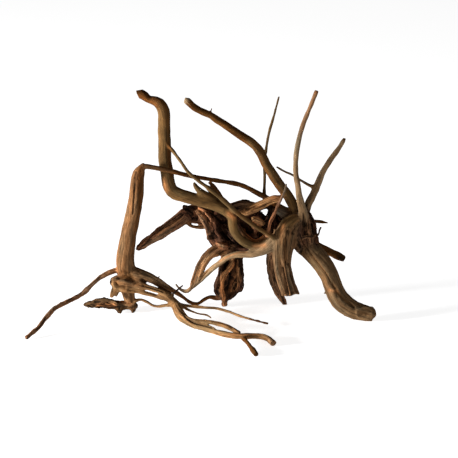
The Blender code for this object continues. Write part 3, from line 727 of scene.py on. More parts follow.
@dataclass(frozen=True)
class DecayedHeart(LimbGroup):
    """The dark, decayed wood between the limbs."""

    crown: Limb = Limb(Kind.DECAYED, [
        (301, 212, 0, 7.4), (302.6, 222, 0, 11.4), (302.6, 232, 2, 13.8), (304, 242, 5, 12.4),
    ])
    weathered_patch: Limb = Limb(Kind.UMBER, [
        (275.5, 209.6, 3, 2.4), (280, 211.6, 5, 4.0), (286, 215, 5, 5.4), (293, 221, 5, 7),
    ], tip=Kind.GREY, tip_reach=18)
    core: Limb = Limb(Kind.DECAYED, [
        (210, 218, -8, 8.5), (216, 228, -7, 9.5), (223, 238, -7, 10.5), (232, 240, -8, 10),
        (243, 240, -9, 7.4), (256, 241, -8, 6.8), (268, 240, -5, 7.4), (280, 236, -2, 9),
        (292, 232, 0, 11.5),
    ])
    lower_core: Limb = Limb(Kind.DECAYED, [
        (211, 233, -6, 6.5), (220, 241, -6, 9), (229, 248, -8, 10), (234, 256, -11, 9.6),
    ])
    top_hump: Limb = Limb(Kind.DECAYED, [
        (217, 209, 8, 5), (225, 213, 0, 7.5), (234, 209, 2, 6.6), (243, 205.5, 4, 5.5),
        (253, 206.5, 4, 4.8), (260, 209, 5, 3.6),
    ])
    hollow_side: Limb = Limb(Kind.DECAYED, [
        (272, 207, -4, 4), (273, 218, -4, 5), (276, 228, -3, 7), (281, 234, -2, 8),
    ])
    cut_knob: Limb = Limb(Kind.PINK, [(254, 232, -9, 6), (256, 226, 1, 5.0), (257.6, 221, 10, 5.0)])
    hollow_back: Limb = Limb(Kind.DECAYED, [
        (226, 226, -9, 9), (236, 220, -11, 8.5), (246, 219, -13, 7), (254, 226, -13, 7),
        (262, 231, -11, 7.5), (270, 234, -7, 7),
    ])
    rust_knob: Limb = Limb(Kind.PINK, [
        (208, 219, -6, 6), (203, 216, -2, 7.4), (199, 214.5, 1, 6.4),
    ])
    dark_limb: Limb = Limb(Kind.PINK, [
        (137, 250, 2, 1.8), (139.8, 247.4, 2, 3.2), (146.6, 242, 1, 4.6), (161.4, 232.2, -2, 6),
        (176.2, 222.4, -5, 7.2), (188, 214, -7, 7.6), (198, 212, -8, 8), (210, 218, -8, 8.5),
        (220, 228, -7, 9),
    ])
    under_strand: Limb = Limb(Kind.AMBER, [
        (185, 220, -3, 2.4), (190, 225.2, -3, 1.9), (196, 227.0, -3, 1.8), (202, 227.2, -3, 1.9),
        (208, 226, -3, 2.6),
    ])
    knee_root: Limb = Limb(Kind.UMBER, [
        (228, 246, -1, 7), (216, 250, 5, 5.8), (208, 255.5, 8, 5.2), (202, 264, 9.5, 4.8),
        (198.5, 272, 11, 4.4), (195.5, 279, 12, 3.7), (192, 286, 11.5, 2.4),
    ])
    heart_strand_left: Limb = Limb(Kind.UMBER, [
        (196.5, 210, 8, 2.0), (201, 216, 9, 3.0), (206, 224, 9, 3.2), (209, 233, 6, 2.6),
        (208, 239, 2, 1.6),
    ])
    heart_strand_middle: Limb = Limb(Kind.DECAYED, [
        (213, 216, 6, 2.0), (215.5, 222, 8, 2.6), (217, 230, 8, 3.0), (222, 237, 6, 3.0),
        (229, 242, 4, 3.0),
    ])
    heart_strand_right: Limb = Limb(Kind.DECAYED, [
        (226, 228, 6, 2.0), (231, 236, 7, 2.6), (238, 243, 5, 2.8), (243, 250, 1, 2.6),
    ])
    crown_strand_left: Limb = Limb(Kind.DECAYED, [
        (297.5, 212, 12, 1.8), (300.5, 222, 15, 2.4), (300, 233, 17, 2.6), (303, 243, 17, 2.4),
    ])
    crown_strand_middle: Limb = Limb(Kind.UMBER, [
        (306, 211, 9, 1.8), (308, 221, 12, 2.4), (309.4, 232, 14.5, 2.6), (311, 243, 16, 2.4),
    ])
    crown_strand_right: Limb = Limb(Kind.DECAYED, [
        (309.5, 213, 4, 1.6), (313.5, 223, 6, 2.4), (315, 233, 8, 2.4), (317, 243, 12, 2.4),
    ])
    crown_band: Limb = Limb(Kind.UMBER, [
        (299, 238.6, 17, 1.4), (307, 236.6, 19, 1.7), (315.6, 236, 14, 1.4),
    ])
    # The cavities and the dark limb's splits are painted near black: painted shade.
    left_cavity: Mark = Mark(-4.0, [(219.5, 217, 2, 3.0), (226, 223, 3, 3.6)], Kind.BLACK, 1.0, 11)
    inner_cavity: Mark = Mark(-3.0, [(242, 225, 0, 3.6), (251, 232, 1, 3.6)], Kind.BLACK, 0.9, 11)
    right_cavity: Mark = Mark(-0.8, [
        (260, 208, 0, 2.6), (267, 214, -4, 3.6), (271, 222, -4, 3.6),
    ], Kind.BLACK, 1.0, 13)
    crown_cavity: Mark = Mark(-3.0, [
        (303.6, 214, 12, 1.2), (304.4, 226, 15, 1.4),
    ], Kind.BLACK, 0.9, 11)
    crown_cavity_right: Mark = Mark(-2.4, [
        (311.4, 224, 11, 1.2), (312.6, 234, 13, 1.3),
    ], Kind.BLACK, 0.9, 11)
    limb_split_upper: Mark = Mark(-1.1, [
        (146, 240.5, 6, 0.6), (158, 231, 4, 0.6), (172, 221.6, 2, 0.7), (184, 213, 1, 0.8),
    ], Kind.BLACK, 0.5, 11)
    limb_split_lower: Mark = Mark(-1.1, [
        (148, 243.6, 6, 0.6), (160, 236, 4, 0.6), (174, 227, 2, 0.7), (186, 219, 1, 0.8),
    ], Kind.BLACK, 0.5, 11)
    limb_stain: Mark = Mark(0.4, [(158, 234, 4, 1.4), (180, 219, 2, 1.6)], Kind.RUST, 0.6, 11)
    # Painted shade: the dark limb's crease near its tip, near black.
    limb_hollow: Mark = Mark(-2.0, [
        (147, 241.6, 6, 1.2), (151, 239.6, 6, 1.2),
    ], Kind.BLACK, 0.9, 11)
    cavity_roof: Limb = Limb(Kind.DECAYED, [
        (243, 213, -10, 4.2), (252, 211, -11, 4.4), (260, 207, -11, 3.8), (268, 205, -9, 3.2),
        (276, 205.4, -6, 3.0),
    ])
    cavity_left: Limb = Limb(Kind.DECAYED, [
        (249, 225, -9, 4.8), (256, 219, -10, 5.8), (260.4, 212, -10, 5.2),
    ])
    cavity_right: Limb = Limb(Kind.DECAYED, [
        (262, 226, -8, 5.0), (267, 222.4, -8, 5.0), (271.4, 215, -7, 5.0), (272.4, 206, -6, 4.6),
    ])
    cavity_floor: Limb = Limb(Kind.DECAYED, [
        (237, 220, -6, 4.0), (242, 229, -6, 4.8), (250, 236, -4, 4.8), (258, 238, -2, 4.4),
    ])
    low_strand: Limb = Limb(Kind.DECAYED, [
        (236, 246, 4, 3.0), (246, 249, 6, 2.6), (255, 248.6, 9, 2.2),
    ])
    pink_cone: Limb = Limb(Kind.PINK, [
        (216.4, 243, 9, 1.4), (219, 244.4, 11, 3.2), (223, 245.4, 10.6, 4.2), (227, 246, 6, 3.6),
    ])
    core_corner: Limb = Limb(Kind.DECAYED, [
        (207.6, 239.4, 0, 1.6), (210, 236, 0, 3.4), (216, 233, 0, 4.6),
    ])
    hump_ridge: Limb = Limb(Kind.UMBER, [
        (228, 209, 10, 1.6), (234, 204.6, 8, 2.2), (243, 203.2, 8, 2.2), (252, 203.6, 9, 2.0),
        (257, 206, 9, 1.4),
    ])
    knob_ridge: Limb = Limb(Kind.PINK, [
        (198, 207.6, 9, 1.4), (204, 210, 11, 1.8), (209, 216, 11, 1.8), (212, 222, 9, 1.4),
    ])
    # Near-black painted shade in the heart's hollows.
    heart_black: Mark = Mark(-2.0, [
        (206, 233.5, 6, 1.6), (213, 238.6, 6, 1.8),
    ], Kind.BLACK, 0.9, 12)
    heart_black_right: Mark = Mark(-2.6, [
        (224, 232, 6, 2.0), (233, 241, 6, 2.4), (243, 246, 4, 2.0),
    ], Kind.BLACK, 0.9, 12)
    cone_shade: Mark = Mark(-1.0, [(229, 243, 11, 1.4), (230, 249, 9, 1.4)], Kind.BLACK, 0.8, 12)
    hump_shade: Mark = Mark(-1.6, [(238, 209.4, 8, 1.6), (248, 208, 8, 1.4)], Kind.BLACK, 0.8, 11)
    knee_outer: Mark = Mark(-0.8, [
        (222, 246.6, 8, 1.5), (212, 249.6, 12, 1.8), (204.6, 256, 13, 1.8), (199.4, 265, 14, 1.6),
        (196, 275, 15, 1.6), (192.6, 283, 14, 1.8),
    ], Kind.BROWN, 0.8, 14)
    # Painted highlight: the knee root's lit ridge, in brightened orange.
    knee_ridge: Mark = Mark(1.4, [
        (226, 252.6, 6, 1.4), (214, 254.6, 11, 1.8), (207, 259.6, 13.4, 2.0), (202.6, 268, 15, 1.8),
        (199.4, 276, 16, 1.2),
    ], Kind.LIT_ORANGE, 0.75, 14)
    knee_shade: Mark = Mark(-1.6, [
        (217, 259.6, 11, 1.1), (210, 264, 13, 1.2), (205, 273, 14, 1.2), (200, 281, 15, 1.0),
    ], Kind.BROWN, 0.95, 12)
    heart_fill: Limb = Limb(Kind.DECAYED, [
        (274, 212, -5, 3.4), (277, 218, -4, 4.4), (281, 227, -3, 5),
    ])
    # Near-black painted shade over the heart and over the dark limb's end next to the core.
    heart_dark: Mark = Mark(-1.0, [
        (219, 224, 8, 3.0), (220, 232, 9, 3.4), (226, 239, 8, 3.4),
    ], Kind.BLACK, 0.85, 14)
    limb_dark: Mark = Mark(-0.8, [
        (187, 206, 6, 3.0), (190, 214, 4, 3.4), (196, 220, 3, 2.6),
    ], Kind.BLACK, 0.8, 14)
    limb_light: Mark = Mark(0.3, [
        (144, 247, 6, 2.0), (157, 239, 5, 2.6), (172, 230, 4, 2.6),
    ], Kind.TAN, 0.35, 12)
    limb_underside: Limb = Limb(Kind.DECAYED, [
        (180, 221, -6, 3.4), (190, 218.8, -5, 3.8), (203, 221, -4, 4.4),
    ])
    limb_root_block: Limb = Limb(Kind.DECAYED, [
        (183, 208.6, -1, 4.4), (189, 211, 0, 5.6), (194, 215.6, 0, 5.2),
    ])
    # The cut knob's face in brightened orange: painted light.
    knob_face: Limb = Limb(Kind.LIT_ORANGE, [
        (252, 218.4, 12, 2.0), (255.6, 219.6, 14, 3.2), (259.6, 221.4, 13, 3.2),
        (263.4, 224, 9, 2.4),
    ])
    facet_light: Mark = Mark(0.8, [
        (199, 209, 11, 2.0), (203.4, 214, 12, 2.2), (206, 217.6, 12, 1.6),
    ], Kind.RUST, 0.4, 12)
    hump_light: Mark = Mark(0.5, [(233, 204.6, 10, 1.6), (241, 202.4, 9, 1.6)], Kind.PINK, 0.6, 12)
    cone_light: Mark = Mark(0.8, [(219, 244, 14, 1.6), (223, 246, 14, 1.8)], Kind.TAN, 0.5, 10)
    facet_shade: Mark = Mark(-1.0, [
        (204.6, 221.6, 12, 1.8), (207.4, 228, 12, 2.4), (209, 235, 9, 2.2),
    ], Kind.DECAYED, 0.9, 12)
    # Painted shade: a near-black cleft beside the facets.
    facet_cleft: Mark = Mark(-1.4, [
        (196.6, 217, 9, 0.9), (202, 213.4, 12, 0.9), (208, 212, 11, 0.9),
    ], Kind.BLACK, 0.7, 12)


@dataclass(frozen=True)
class HangingRoot(LimbGroup):
    """Rotten wood that has split into cords, one of them reaching the ground."""

    hanging_back: Limb = Limb(Kind.DECAYED, [
        (231, 250, -13, 9), (232, 264, -16, 9.4), (230.5, 278, -18, 9.6), (228, 289, -18, 8.4),
        (226.5, 296, -17, 5),
    ])
    hanging_left: Limb = Limb(Kind.UMBER, [
        (227, 250, -6, 6.4), (226, 262, -7, 5.8), (224, 273, -8, 5.6), (221.3, 283, -10, 5.2),
        (219.6, 290, -11, 4.6), (220.5, 296, -13, 3.4),
    ])
    hanging_middle: Limb = Limb(Kind.DECAYED, [
        (231, 250, -4, 7), (231, 264, -5, 6.4), (229.5, 277, -7, 6), (227.5, 289, -11, 5.4),
        (225.6, 298, -15, 3.6), (224.4, 303, -17, 2.8), (224.8, 307, -17, 2.0),
    ])
    hanging_right: Limb = Limb(Kind.DECAYED, [
        (237, 252, -8, 6.4), (237.5, 263, -8.5, 5.8), (238.5, 274, -9.5, 5.2),
        (237.8, 284, -11.5, 5), (234.5, 291, -13, 4.6), (228, 297, -15, 4),
    ])
    cord_front: Limb = Limb(Kind.RUST, [
        (233, 256, 4, 1.8), (232, 264, 5, 2.6), (227, 271, 4, 2.8), (222.6, 279, 0, 2.6),
        (221.6, 288, -3, 2.6), (223.6, 297, -9, 2.4), (224.6, 306, -14, 1.2),
    ])
    cord_right: Limb = Limb(Kind.DECAYED, [
        (238, 258, 1, 2.2), (240, 268, 0, 2.6), (239.4, 278, -1, 2.8), (239, 287, -5, 2.6),
        (233, 294, -8, 2.2), (227, 300, -12, 2.0),
    ])
    cord_left: Limb = Limb(Kind.DECAYED, [
        (223, 262, 1, 2.0), (220.4, 272, -1, 2.4), (217.4, 281, -5, 2.8), (216, 290, -9, 2.8),
        (218, 296, -13, 2.2),
    ])
    cord_thin: Limb = Limb(Kind.RUST, [
        (236, 262, 2, 1.2), (236.4, 272, 1, 1.5), (234.6, 282, -3, 1.6), (231, 292, -8, 1.4),
    ])
    # Near-black painted shade in the split between the cords.
    split_black: Mark = Mark(-5.0, [
        (231.6, 262, 2, 1.6), (231, 270, 1, 2.6), (229.6, 279, -1, 3.8), (228.4, 289, -6, 3.2),
    ], Kind.BLACK, 1.0, 18)
    split_upper: Mark = Mark(-3.0, [(227, 262, 1, 1.3), (225, 268, 0, 1.3)], Kind.BLACK, 0.9, 11)
    corner_right: Limb = Limb(Kind.DECAYED, [
        (240.4, 262, -4, 2.6), (240.8, 274, -5, 3.0), (240.8, 285, -7, 3.0),
        (238.6, 291.4, -9, 2.4),
    ])
    # Near-black painted shade in the grooves on the right and along the left edge.
    right_black: Mark = Mark(-2.0, [
        (235, 259, 3, 1.4), (235.6, 272, 2, 1.2), (234, 288, -3, 1.4),
    ], Kind.BLACK, 0.9, 16)
    edge_black: Mark = Mark(-1.5, [
        (220, 270, 1, 0.9), (219, 279, -1, 0.9), (219, 288, -5, 0.9),
    ], Kind.BLACK, 0.8, 12)
    corner_left: Limb = Limb(Kind.DECAYED, [
        (220, 278, -5, 3.0), (216.6, 285, -7, 3.0), (215.4, 290.4, -8, 2.2),
    ])
    rust_light: Mark = Mark(0.5, [
        (232, 258, 7, 1.4), (229.4, 266, 8, 1.6), (224.6, 274, 5, 1.7), (221.4, 283, 2, 1.6),
    ], Kind.LIT_ORANGE, 0.55, 12)
    # Painted highlights on the rusty wood of the right cords.
    rust_highlights: Mark = Mark(0.3, [
        (238.6, 268, 3, 1.2), (238.8, 279, 2, 1.6), (236, 289, -4, 1.4),
    ], Kind.LIT_ORANGE, 0.4, 12)
    toe_light: Mark = Mark(0.3, [
        (232, 293, -6, 1.0), (226, 294, -7, 1.6), (223.6, 301, -12, 1.4),
    ], Kind.RUST, 0.7, 14)
    # Near-black painted shade at the top of the right side.
    top_black: Mark = Mark(-1.2, [
        (239, 258, -1, 2.4), (241, 266, -2, 2.4), (242, 273, -3, 1.6),
    ], Kind.BLACK, 0.9, 14)


@dataclass(frozen=True)
class LeftKnot(LimbGroup):
    """The left knot, its upright broken stem, and the chunk of bark that it stands on."""

    stem: Limb = Limb(Kind.AMBER, [
        (143.2, 163, 29, 1.2), (142.4, 165.3, 29, 2.6), (140.8, 169, 28, 4.4),
        (138.4, 176, 26, 6.2), (136.8, 192, 22, 7.1), (134.6, 207, 19, 7.4),
        (131.6, 221.5, 16, 7.6), (128.6, 236, 13, 7.9), (126, 251, 10, 8.6), (125.3, 262.5, 8, 9.2),
        (126.5, 272, 7, 9.3), (127.5, 281, 6, 8),
    ])
    knot: Limb = Limb(Kind.AMBER, [
        (110.8, 281.5, 10, 3.4), (114.6, 281.8, 11, 6.0), (121, 282.4, 10.5, 9.0),
        (129, 283, 9, 8.6), (136, 281.4, 8, 6.2),
    ])
    pillar: Limb = Limb(Kind.AMBER, [
        (127, 285, 6, 7.4), (128.6, 293, 4, 6.6), (129.6, 300, 2, 5.4), (129.6, 306, 0.3, 4.6),
    ])
    knot_nub: Limb = Limb(Kind.ORANGE, [
        (117, 286, 12, 4.2), (114.6, 290, 13, 3.4), (112.6, 294.4, 13, 2.8),
        (111.2, 297.4, 13, 1.7),
    ])
    bark_base: Limb = Limb(Kind.BARK, [
        (83.6, 306, 6.4, 1.2), (87.5, 304.8, 7.6, 2.6), (94.8, 303.6, 9.2, 3.9),
        (105, 303.8, 9, 4.5), (115, 304.5, 8, 4.5), (125, 305.5, 7, 4.4), (134, 305.5, 7, 4),
        (138, 305, 7.5, 2.4),
    ], by_height=True)
    bark_toe_left: Limb = Limb(Kind.BARK, [
        (117.4, 305, 6, 3.4), (121, 311, 1, 1.6),
    ], by_height=True)
    bark_toe_right: Limb = Limb(Kind.BARK, [
        (133.4, 304.6, 6, 3.4), (131.4, 310, 1, 1.4),
    ], by_height=True)
    # Near-black painted shade in the stem's split.
    stem_split: Mark = Mark(-1.7, [
        (135.8, 172, 33, 0.7), (134.8, 178, 32, 0.7), (134.2, 190, 30, 0.7), (133.4, 203, 28, 0.7),
        (132.8, 214, 25, 0.6),
    ], Kind.BLACK, 0.95, 12)
    # Browns the stem's upper right: painted shade.
    stem_upper_shade: Mark = Mark(-0.4, [
        (140.6, 168, 33, 2.6), (140, 178, 31, 3.6), (140.4, 192, 28, 3.0), (139.8, 208, 26, 2.0),
    ], Kind.BROWN, 0.95, 14)
    stem_line: Mark = Mark(-0.6, [
        (134, 222, 24, 0.8), (132, 240, 22, 0.9), (130.5, 258, 20, 1.0),
    ], Kind.UMBER, 0.45, 12)
    stem_foot_shade: Mark = Mark(-1.0, [
        (119.4, 274, 18, 1.6), (124, 271.6, 18, 2.0), (130, 274, 17, 2.2), (133, 279, 16, 1.8),
    ], Kind.BROWN, 0.65, 16)
    # Browns and sinks the knot's eye: painted shade in its hollow.
    knot_eye: Mark = Mark(-1.8, [
        (115.8, 283, 17, 1.2), (118.8, 286.8, 19, 1.4), (125, 287.4, 19, 1.3),
    ], Kind.BROWN, 0.85, 16)
    pillar_shade: Mark = Mark(-0.8, [(131.4, 293, 8, 1.4), (132, 302, 6, 1.4)], Kind.BLACK, 0.6, 11)
    bark_crest: Limb = Limb(Kind.BARK, [
        (92, 301.6, 12, 1.6), (101, 301, 14, 2.2), (111, 301.4, 14, 2.2), (118, 304.4, 13, 1.8),
    ], by_height=True)
    # Near-black painted shade in a notch of the bark.
    bark_notch: Mark = Mark(-2.0, [(88, 305.5, 3, 0.8), (92, 308.4, 5, 0.9)], Kind.BLACK, 0.8, 11)
    bark_glow: Mark = Mark(0.6, [(98, 304.4, 6, 1.8), (114, 305.4, 6, 2)], Kind.RUST, 0.7, 11)
    bark_body: Limb = Limb(Kind.BARK, [
        (86, 305.6, 7, 1.8), (91, 305, 7.6, 3.4), (99, 304, 8.2, 4.6), (109, 304, 8, 4.9),
        (119, 304.8, 7.4, 4.6), (128, 305, 7, 4.2), (135, 305.4, 6.8, 3.8),
    ], by_height=True)
    toe_cone_left: Limb = Limb(Kind.BARK, [
        (118.6, 305.6, 6, 4.6), (119.6, 309.4, 3.6, 3.5), (120, 313.4, 1.0, 1.3),
    ], by_height=True)
    toe_cone_right: Limb = Limb(Kind.BARK, [
        (133.6, 305.6, 6, 4.4), (133.4, 309, 3.6, 3.2), (132.4, 312.8, 1.0, 1.2),
    ], by_height=True)
    # Near-black painted shade in the hollow of the web.
    web_hollow: Mark = Mark(-2.4, [(142, 280, 15, 1.2), (147, 282.6, 14, 1.2)], Kind.BLACK, 0.8, 12)
    web_crack: Mark = Mark(-0.6, [
        (153, 284, 12, 1.6), (160, 288, 12, 2.0), (167, 292, 12, 1.8),
    ], Kind.BROWN, 0.7, 12)
    # Browns the stem's right side: painted shade.
    stem_shaded_side: Mark = Mark(0, [
        (143, 180, 24, 2.6), (141.8, 190, 22, 2.6), (139.6, 206, 20, 2.6), (137, 222, 17, 2.6),
        (134.4, 238, 14, 2.6), (133, 254, 12, 2.4), (135, 264, 12, 2.0),
    ], Kind.BROWN, 0.8, 14)
    # Painted highlight: a pale lit fold in the knot.
    knot_fold: Mark = Mark(1.4, [
        (119.6, 280.6, 19, 1.4), (125.4, 281.4, 19, 1.7), (132, 283.6, 18, 1.5),
    ], Kind.TAN, 0.4, 16)
    # Painted highlight: the knot's lit rim, in orange.
    knot_rim: Mark = Mark(1.3, [
        (112.4, 279.6, 14, 1.4), (113.6, 285.4, 17, 1.6), (118.4, 290.6, 18, 1.5),
        (127, 291, 17, 1.4),
    ], Kind.ORANGE, 0.5, 16)
    # Near-black painted shade in a small hole at the knot's left.
    knot_hole: Mark = Mark(-1.6, [
        (110.6, 279.6, 12, 1.4), (111.2, 282, 12, 1.2),
    ], Kind.BLACK, 0.8, 12)
    bark_glow_right: Mark = Mark(0.4, [(120, 301, 8, 1.6), (130, 304, 6, 1.6)], Kind.RUST, 0.7, 14)
    nub_prong: Limb = Limb(Kind.ORANGE, [
        (117.8, 289, 13, 2.8), (116.6, 294, 13.4, 1.7), (115.8, 297, 13.4, 0.9),
    ])
    web_left: Limb = Limb(Kind.AMBER, [
        (135, 281, 11, 4.2), (141, 282.4, 12, 3.4), (146, 284, 12.5, 2.2),
    ])
    # Browns the recess between the stem's foot and the knot: painted shade.
    knot_recess_shade: Mark = Mark(-1.8, [
        (118.6, 278.4, 18, 1.6), (124.4, 277, 18, 2.2), (130.4, 278.6, 17, 2.0),
    ], Kind.BROWN, 0.85, 16)


@dataclass(frozen=True)
class GroundRoots(LimbGroup):
    """The low roots of the left knot."""

    side_root: Limb = Limb(Kind.UMBER, [
        (121, 272, 46, 4), (115.5, 270.5, 47.3, 2.7), (104.5, 275, 44.3, 2.4), (95, 282, 39, 2.3),
        (83, 293, 30, 2.3), (68, 301.5, 25, 2.3), (56, 307.6, 21, 2.4), (46.4, 317, 14, 2.3),
        (40, 326, 8, 2.2), (32, 333, 4, 2.1), (26, 338.3, 1.4, 2.1),
    ], by_height=True, tip=Kind.RUST, tip_reach=24)
    link_root: Limb = Limb(Kind.BROWN, [
        (131, 273, 8, 8), (140, 274.5, 9, 5.8), (149.4, 277.6, 8, 5), (157.4, 282, 6, 4.4),
        (165, 286, 3, 3.4), (174, 291.3, -2, 2.5), (183, 297.3, -6, 2), (190, 302.3, -9, 1.8),
        (197.5, 303.7, -12, 1.8), (204, 299.5, -14, 1.8), (210, 297, -15, 2), (217, 298, -16, 2.6),
        (223, 297, -16, 3.4),
    ], tip=Kind.AMBER, tip_reach=66)
    link_thorn: Limb = Limb(Kind.UMBER, [(156, 281, 8, 2.2), (159.5, 276, 8, 0.7)])
    middle_root: Limb = Limb(Kind.ORANGE, [
        (131, 283, 11, 5.4), (142, 286, 14, 3.3), (152, 288.5, 15, 2.8), (164.3, 293, 16, 2.8),
        (171, 298.5, 14, 3.3), (175, 303, 13, 3.6),
    ], tip=Kind.AMBER, tip_reach=24)
    lower_root: Limb = Limb(Kind.ORANGE, [
        (119, 284.5, 13, 5), (127, 289.5, 15, 3), (137, 291, 15, 2.4), (146, 293.5, 15, 2.3),
        (157.4, 296.5, 14, 2.3), (169, 300, 13, 2.7), (175.5, 304, 13, 3.6),
    ])
    thin_link: Limb = Limb(Kind.ORANGE, [
        (131, 303, 12, 3), (135, 301, 14, 2), (140.5, 299.7, 15, 1.6), (146.5, 302, 13, 1.5),
        (152, 305.3, 11, 1.5), (158, 306.5, 10, 1.5), (165, 305.5, 12, 1.6), (174, 304.7, 14, 2.4),
    ], by_height=True)
    ground_root: Limb = Limb(Kind.ORANGE, [
        (171, 298, 18, 3), (176, 305.5, 12.5, 5), (178.5, 311.5, 10, 5), (182.5, 317, 8, 4.8),
        (188, 321, 6.5, 4.4), (194.5, 324.5, 5, 3.9), (203.6, 328.3, 3.8, 2.8),
        (212.5, 331, 3.5, 2.7), (221.4, 333.4, 3.5, 3.0), (230.4, 335.4, 3.7, 3.0),
        (238, 336, 4.2, 3.1), (244.6, 336.3, 4.4, 3.3), (252.7, 336, 4.4, 3),
        (261.6, 336.5, 4, 2.9), (268, 338.8, 3.3, 3.1), (272.3, 342.5, 2.8, 3.3),
    ], by_height=True)
    ground_root_strand: Limb = Limb(Kind.ORANGE, [
        (190, 321, 6.5, 3.4), (199, 321.3, 8, 2.3), (208, 322, 9, 2.1), (217, 323.4, 9.5, 2.3),
        (226, 326.2, 9, 2.3), (233, 329.6, 7, 2.3), (240, 334, 5, 2.6),
    ], by_height=True)
    ground_root_toe: Limb = Limb(Kind.BROWN, [
        (241, 336, 4, 2.6), (246.5, 341.5, 3, 2), (249.5, 345.8, 2.8, 2.2), (253, 350.3, 2.4, 2.4),
        (256, 354, 2, 2.4),
    ], by_height=True, tip=Kind.AMBER, tip_reach=6)
    long_rootlet: Limb = Limb(Kind.ORANGE, [
        (174, 303, 14, 2.6), (184, 305.3, 12, 1.7), (190.2, 306, 12.5, 1.6),
        (203.6, 307.3, 12.5, 1.5), (217, 308.3, 12, 1.5), (230.4, 312.3, 10.5, 1.5),
        (239.3, 315.8, 8.5, 1.4), (248.2, 318.5, 7, 1.3), (258.9, 321.5, 5, 1.4),
        (268.3, 323.6, 4, 1),
    ], by_height=True)
    rootlet_dark: Mark = Mark(0, [
        (251, 319.6, 36, 1.8), (260, 321.8, 36, 1.8), (269, 324, 38, 1.8),
    ], Kind.BROWN, 0.95, 40)
    short_rootlet: Limb = Limb(Kind.ORANGE, [
        (177, 304, 13, 2.2), (183, 307, 12, 1.4), (190.2, 310.5, 10.5, 1.2), (199, 313.5, 9, 1.1),
        (207, 315, 8.5, 1.1), (211.6, 318, 6.5, 0.8),
    ], by_height=True)
    crossing_rootlet: Limb = Limb(Kind.BROWN, [
        (166, 300, 15, 1.8), (174, 293, 17, 1.1), (179.5, 288.2, 17, 1), (183, 285.4, 16, 0.9),
    ], tip=Kind.BLACK, tip_reach=40)
    slit_fill: Limb = Limb(Kind.ORANGE, [
        (192, 322.4, 6, 2.6), (202, 325, 6, 2.5), (210, 327.4, 6, 2.2), (215, 329, 6, 1.4),
    ], by_height=True)
    # Painted shade: the slit between the root and its strand, darkened with the bark's colour.
    slit: Mark = Mark(-2.0, [
        (185, 316.6, 42, 0.7), (192, 321.6, 47, 1.1), (202, 324.4, 55, 1.3), (212, 327, 61, 1.2),
    ], Kind.BARK, 0.95, 20)
    root_end: Limb = Limb(Kind.UMBER, [
        (270, 340, 3.4, 2.8), (273.4, 343.4, 3.2, 3.8),
    ], by_height=True)
    toe_bulb: Limb = Limb(Kind.BROWN, [
        (250, 346.4, 3, 2.2), (253.4, 350.6, 3, 3.0), (256.4, 354.8, 2.8, 2.6),
    ], by_height=True)
    rootlet_knot: Limb = Limb(Kind.BROWN, [
        (256.4, 320.4, 5.2, 1.4), (259.6, 321.4, 5, 1.8),
    ], by_height=True)
    root_shade: Mark = Mark(-0.5, [
        (182, 312, 22, 1.6), (188, 317.4, 42, 1.4), (194, 321, 48, 1.2),
    ], Kind.UMBER, 0.5, 16)
    root_streak: Mark = Mark(-0.5, [
        (228, 333.6, 72, 0.9), (244, 334, 78, 1.0), (262, 334.6, 82, 1.0),
    ], Kind.RUST, 0.6, 16)
    middle_crack: Mark = Mark(-1.6, [
        (143, 285.6, 18, 0.9), (153, 288, 19, 1.0), (163, 291.6, 20, 1.2),
    ], Kind.BARK, 0.9, 11)
    strand_top: Mark = Mark(-0.3, [
        (197, 319.4, 52, 1.1), (214, 321.4, 54, 1.1), (228, 325.2, 60, 1.1), (238, 331, 68, 1.2),
    ], Kind.BROWN, 0.6, 30)
    root_glow: Mark = Mark(0.3, [
        (176, 309, 22, 1.8), (182, 317, 36, 1.8), (192, 324.6, 50, 1.4),
    ], Kind.LIT_ORANGE, 0.3, 24)
    web_right: Limb = Limb(Kind.BROWN, [
        (157.6, 286.6, 10, 1.2), (163, 289.6, 10, 2.2), (169, 293.4, 9.6, 2.4), (173, 297, 11, 2.4),
    ])
    fork_fill: Limb = Limb(Kind.AMBER, [
        (158, 294, 15, 1.0), (162, 295.8, 15, 1.9), (168, 298, 14.5, 2.6),
    ])
    link_light: Mark = Mark(0.3, [
        (142, 272.4, 14, 2.2), (152, 276.4, 12, 2.2), (162, 282, 9, 2.0), (168, 286, 5, 1.6),
    ], Kind.TAN, 0.6, 12)


